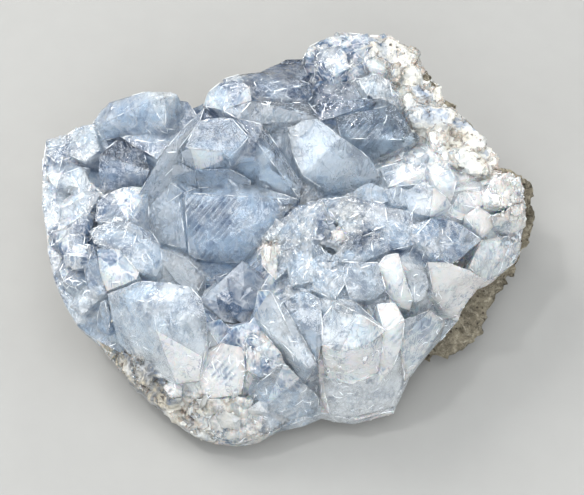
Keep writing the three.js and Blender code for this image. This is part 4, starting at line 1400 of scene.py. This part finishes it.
def fracture_and_glint_ridges(tree, mesh, count, random):
    """Curved white ridges that breaks leave on the crystals, most of them where the surface is broken; they
    also stand in for glints as painted highlight.
    """
    steps = 7
    mesh.calc_loop_triangles()
    corners = vertex_places(mesh)[values_of(mesh.loop_triangles, "vertices", 3, np.int32)]
    cross = np.cross(corners[:, 1] - corners[:, 0], corners[:, 2] - corners[:, 0])
    area = np.linalg.norm(cross, axis=1)
    chosen = random.choice(len(corners), size=count, p=area / area.sum())
    share = random.uniform(0, 1, (count, 2))
    share = np.where(share.sum(axis=1, keepdims=True) > 1, 1 - share, share)
    start = corners[chosen, 0] + (share[:, :, None] * (corners[chosen, 1:] - corners[chosen, :1])).sum(axis=1)
    normal = cross[chosen] / area[chosen, None]
    looks = insides_at(start)
    group = rolling(start, 4 * MM, 51) * 0.5 + rolling(start, 1.8 * MM, 52) * 0.5
    wanted = np.clip(looks[:, 4] - 0.05, 0, 0.6) * np.clip(group * 6 + 0.2, 0, 1.6) + 0.004
    wanted *= np.clip(1.6 - 2 * np.clip(looks[:, 4] - 0.5, 0, 1), 0, 1) * (normal[:, 2] > -0.1)
    keep = random.uniform(0, 1, count) < wanted
    start, normal = start[keep], normal[keep]
    field = np.stack([rolling(start, 5 * MM, seed) for seed in (53, 54, 55)], axis=1)
    paths = []
    for place, up, drift in zip(start, normal, field):
        heading = np.cross(up, drift + random.normal(0, 0.1, 3))
        heading /= np.linalg.norm(heading)
        turn = random.normal(0, 0.08)
        step = random.uniform(0.14, 0.45) * MM
        width = random.uniform(0.04, 0.12) * MM
        path = []
        for i in range(steps):
            across = np.cross(up, heading)
            half = across * width * (math.sin(math.pi * i / (steps - 1)) + 0.05) * random.uniform(0.5, 1.2)
            path.append((place - half, place + up * width * 0.5, place + half))
            turn += random.normal(0, 0.12)
            heading = heading * math.cos(turn) + across * math.sin(turn)
            hit, found = tree.find_nearest(Vector(place + heading * step))[:2]
            if np.array(found) @ up < 0.5:
                found = Vector(up)
            place, up = np.array(hit), np.array(found)
            heading = heading - up * (heading @ up)
            heading /= np.linalg.norm(heading) + 1e-9
        paths.append(path)
    return np.array(paths)


def worn_and_glinting_edges(mesh, count, random):
    """Stretches of the crystals' sharp edges made white, as chips and as painted highlight where edges catch
    light.
    """
    made = bmesh.new()
    made.from_mesh(mesh)
    bmesh.ops.remove_doubles(made, verts=made.verts, dist=MERGE_DISTANCE)
    edges = [
        edge
        for edge in made.edges
        if edge.is_manifold and edge.calc_face_angle_signed(0) > SHARP_EDGE and edge.calc_length() > MM
    ]
    edges = [edge for edge in edges if min(face.normal.z for face in edge.link_faces) > -0.2]
    broken = insides_at(np.array([(edge.verts[0].co + edge.verts[1].co) / 2 for edge in edges]))[:, 4]
    edges = [edge for edge, share in zip(edges, broken) if share < 0.7]
    lengths = np.array([edge.calc_length() for edge in edges])
    paths = []
    steps = 9
    for index in random.choice(len(edges), size=count, p=lengths / lengths.sum()):
        edge = edges[index]
        first, last = (np.array(vertex.co) for vertex in edge.verts)
        along = (last - first) / lengths[index]
        sides = []
        for face in edge.link_faces:
            side = np.cross(np.array(face.normal), along)
            middle = np.array(face.calc_center_median()) - first
            sides.append(side if side @ middle > 0 else -side)
        up = sum(np.array(face.normal) for face in edge.link_faces)
        up /= np.linalg.norm(up)
        length = min(lengths[index], random.uniform(0.8, 3.2) * MM)
        begin = random.uniform(0, lengths[index] - length)
        width = random.uniform(0.05, 0.13) * MM
        path = []
        for i in range(steps):
            place = first + along * (begin + length * i / (steps - 1))
            taper = math.sin(math.pi * i / (steps - 1)) + 0.05
            left, right = (width * taper * random.uniform(0.3, 1.3) for _ in range(2))
            path.append((place + sides[0] * left, place + up * 0.03 * MM, place + sides[1] * right))
        paths.append(path)
    made.free()
    return np.array(paths)


def grown_crystals(feet, habit, random):
    """Small crystals on their feet, each leaning, turned, stretched and tinted in its own way. The habit
    is their lean, and the least and greatest length as shares of their width."""
    lean, shortest, longest = habit
    count = len(feet)
    places = np.array([foot[0] for foot in feet])
    widths = np.array([foot[2] for foot in feet])
    axis = np.array([foot[1] for foot in feet]) + random.normal(0, lean, (count, 3))
    axis /= np.linalg.norm(axis, axis=1)[:, None]
    side = np.cross(axis, random.normal(0, 1, (count, 3)))
    side /= np.linalg.norm(side, axis=1)[:, None]
    front = np.cross(axis, side)
    size = np.stack(
        [
            widths * random.uniform(0.7, 1.2, count) / 2,
            widths * random.uniform(0.5, 1.0, count) / 2,
            widths * random.uniform(shortest, longest, count) / 2,
        ],
        axis=1,
    )
    shape = TINY_SHAPE[None] * (1 + random.normal(0, 0.12, (count, len(TINY_SHAPE), 1))) * size[:, None] * MM
    ways = (side, front, axis)
    turned = sum(shape[:, :, i : i + 1] * way[:, None] for i, way in enumerate(ways))
    starts = np.arange(count)[:, None, None] * len(TINY_SHAPE)
    tints = np.repeat(random.uniform(0, 1, count), len(TINY_SHAPE))
    return (places[:, None] + turned).reshape(-1, 3), (TINY_FACES[None] + starts).reshape(-1, 3), tints


OPERATORS = (
    CLUSTER_OT_clear_crystals,
    CLUSTER_OT_massive_crust,
    CLUSTER_OT_loose_crystals,
    CLUSTER_OT_marl,
    CLUSTER_OT_stage,
)


class CLUSTER_PT_panel(bpy.types.Panel):
    """Sidebar panel of the celestite cluster"""

    bl_idname = "CLUSTER_PT_panel"
    bl_label = "Celestite cluster"
    bl_space_type = "VIEW_3D"
    bl_region_type = "UI"
    bl_category = "Celestite"

    def draw(self, context):
        settings = context.scene.cluster
        for name in ClusterSettings.__annotations__:
            self.layout.prop(settings, name)
        for operator in OPERATORS:
            self.layout.operator(operator.bl_idname)


def register():
    """Registers the settings, the operators and the panel."""
    for cls in (ClusterSettings, *OPERATORS, CLUSTER_PT_panel):
        bpy.utils.register_class(cls)
    bpy.types.Scene.cluster = bpy.props.PointerProperty(type=ClusterSettings)


def unregister():
    """Takes the settings, the operators and the panel away again."""
    del bpy.types.Scene.cluster
    for cls in (CLUSTER_PT_panel, *reversed(OPERATORS), ClusterSettings):
        bpy.utils.unregister_class(cls)


def main():
    """Makes every piece and the stage."""
    register()
    bpy.ops.cluster.clear_crystals()
    bpy.ops.cluster.massive_crust()
    bpy.ops.cluster.loose_crystals()
    bpy.ops.cluster.marl()
    bpy.ops.cluster.stage()


if __name__ == "__main__":
    main()
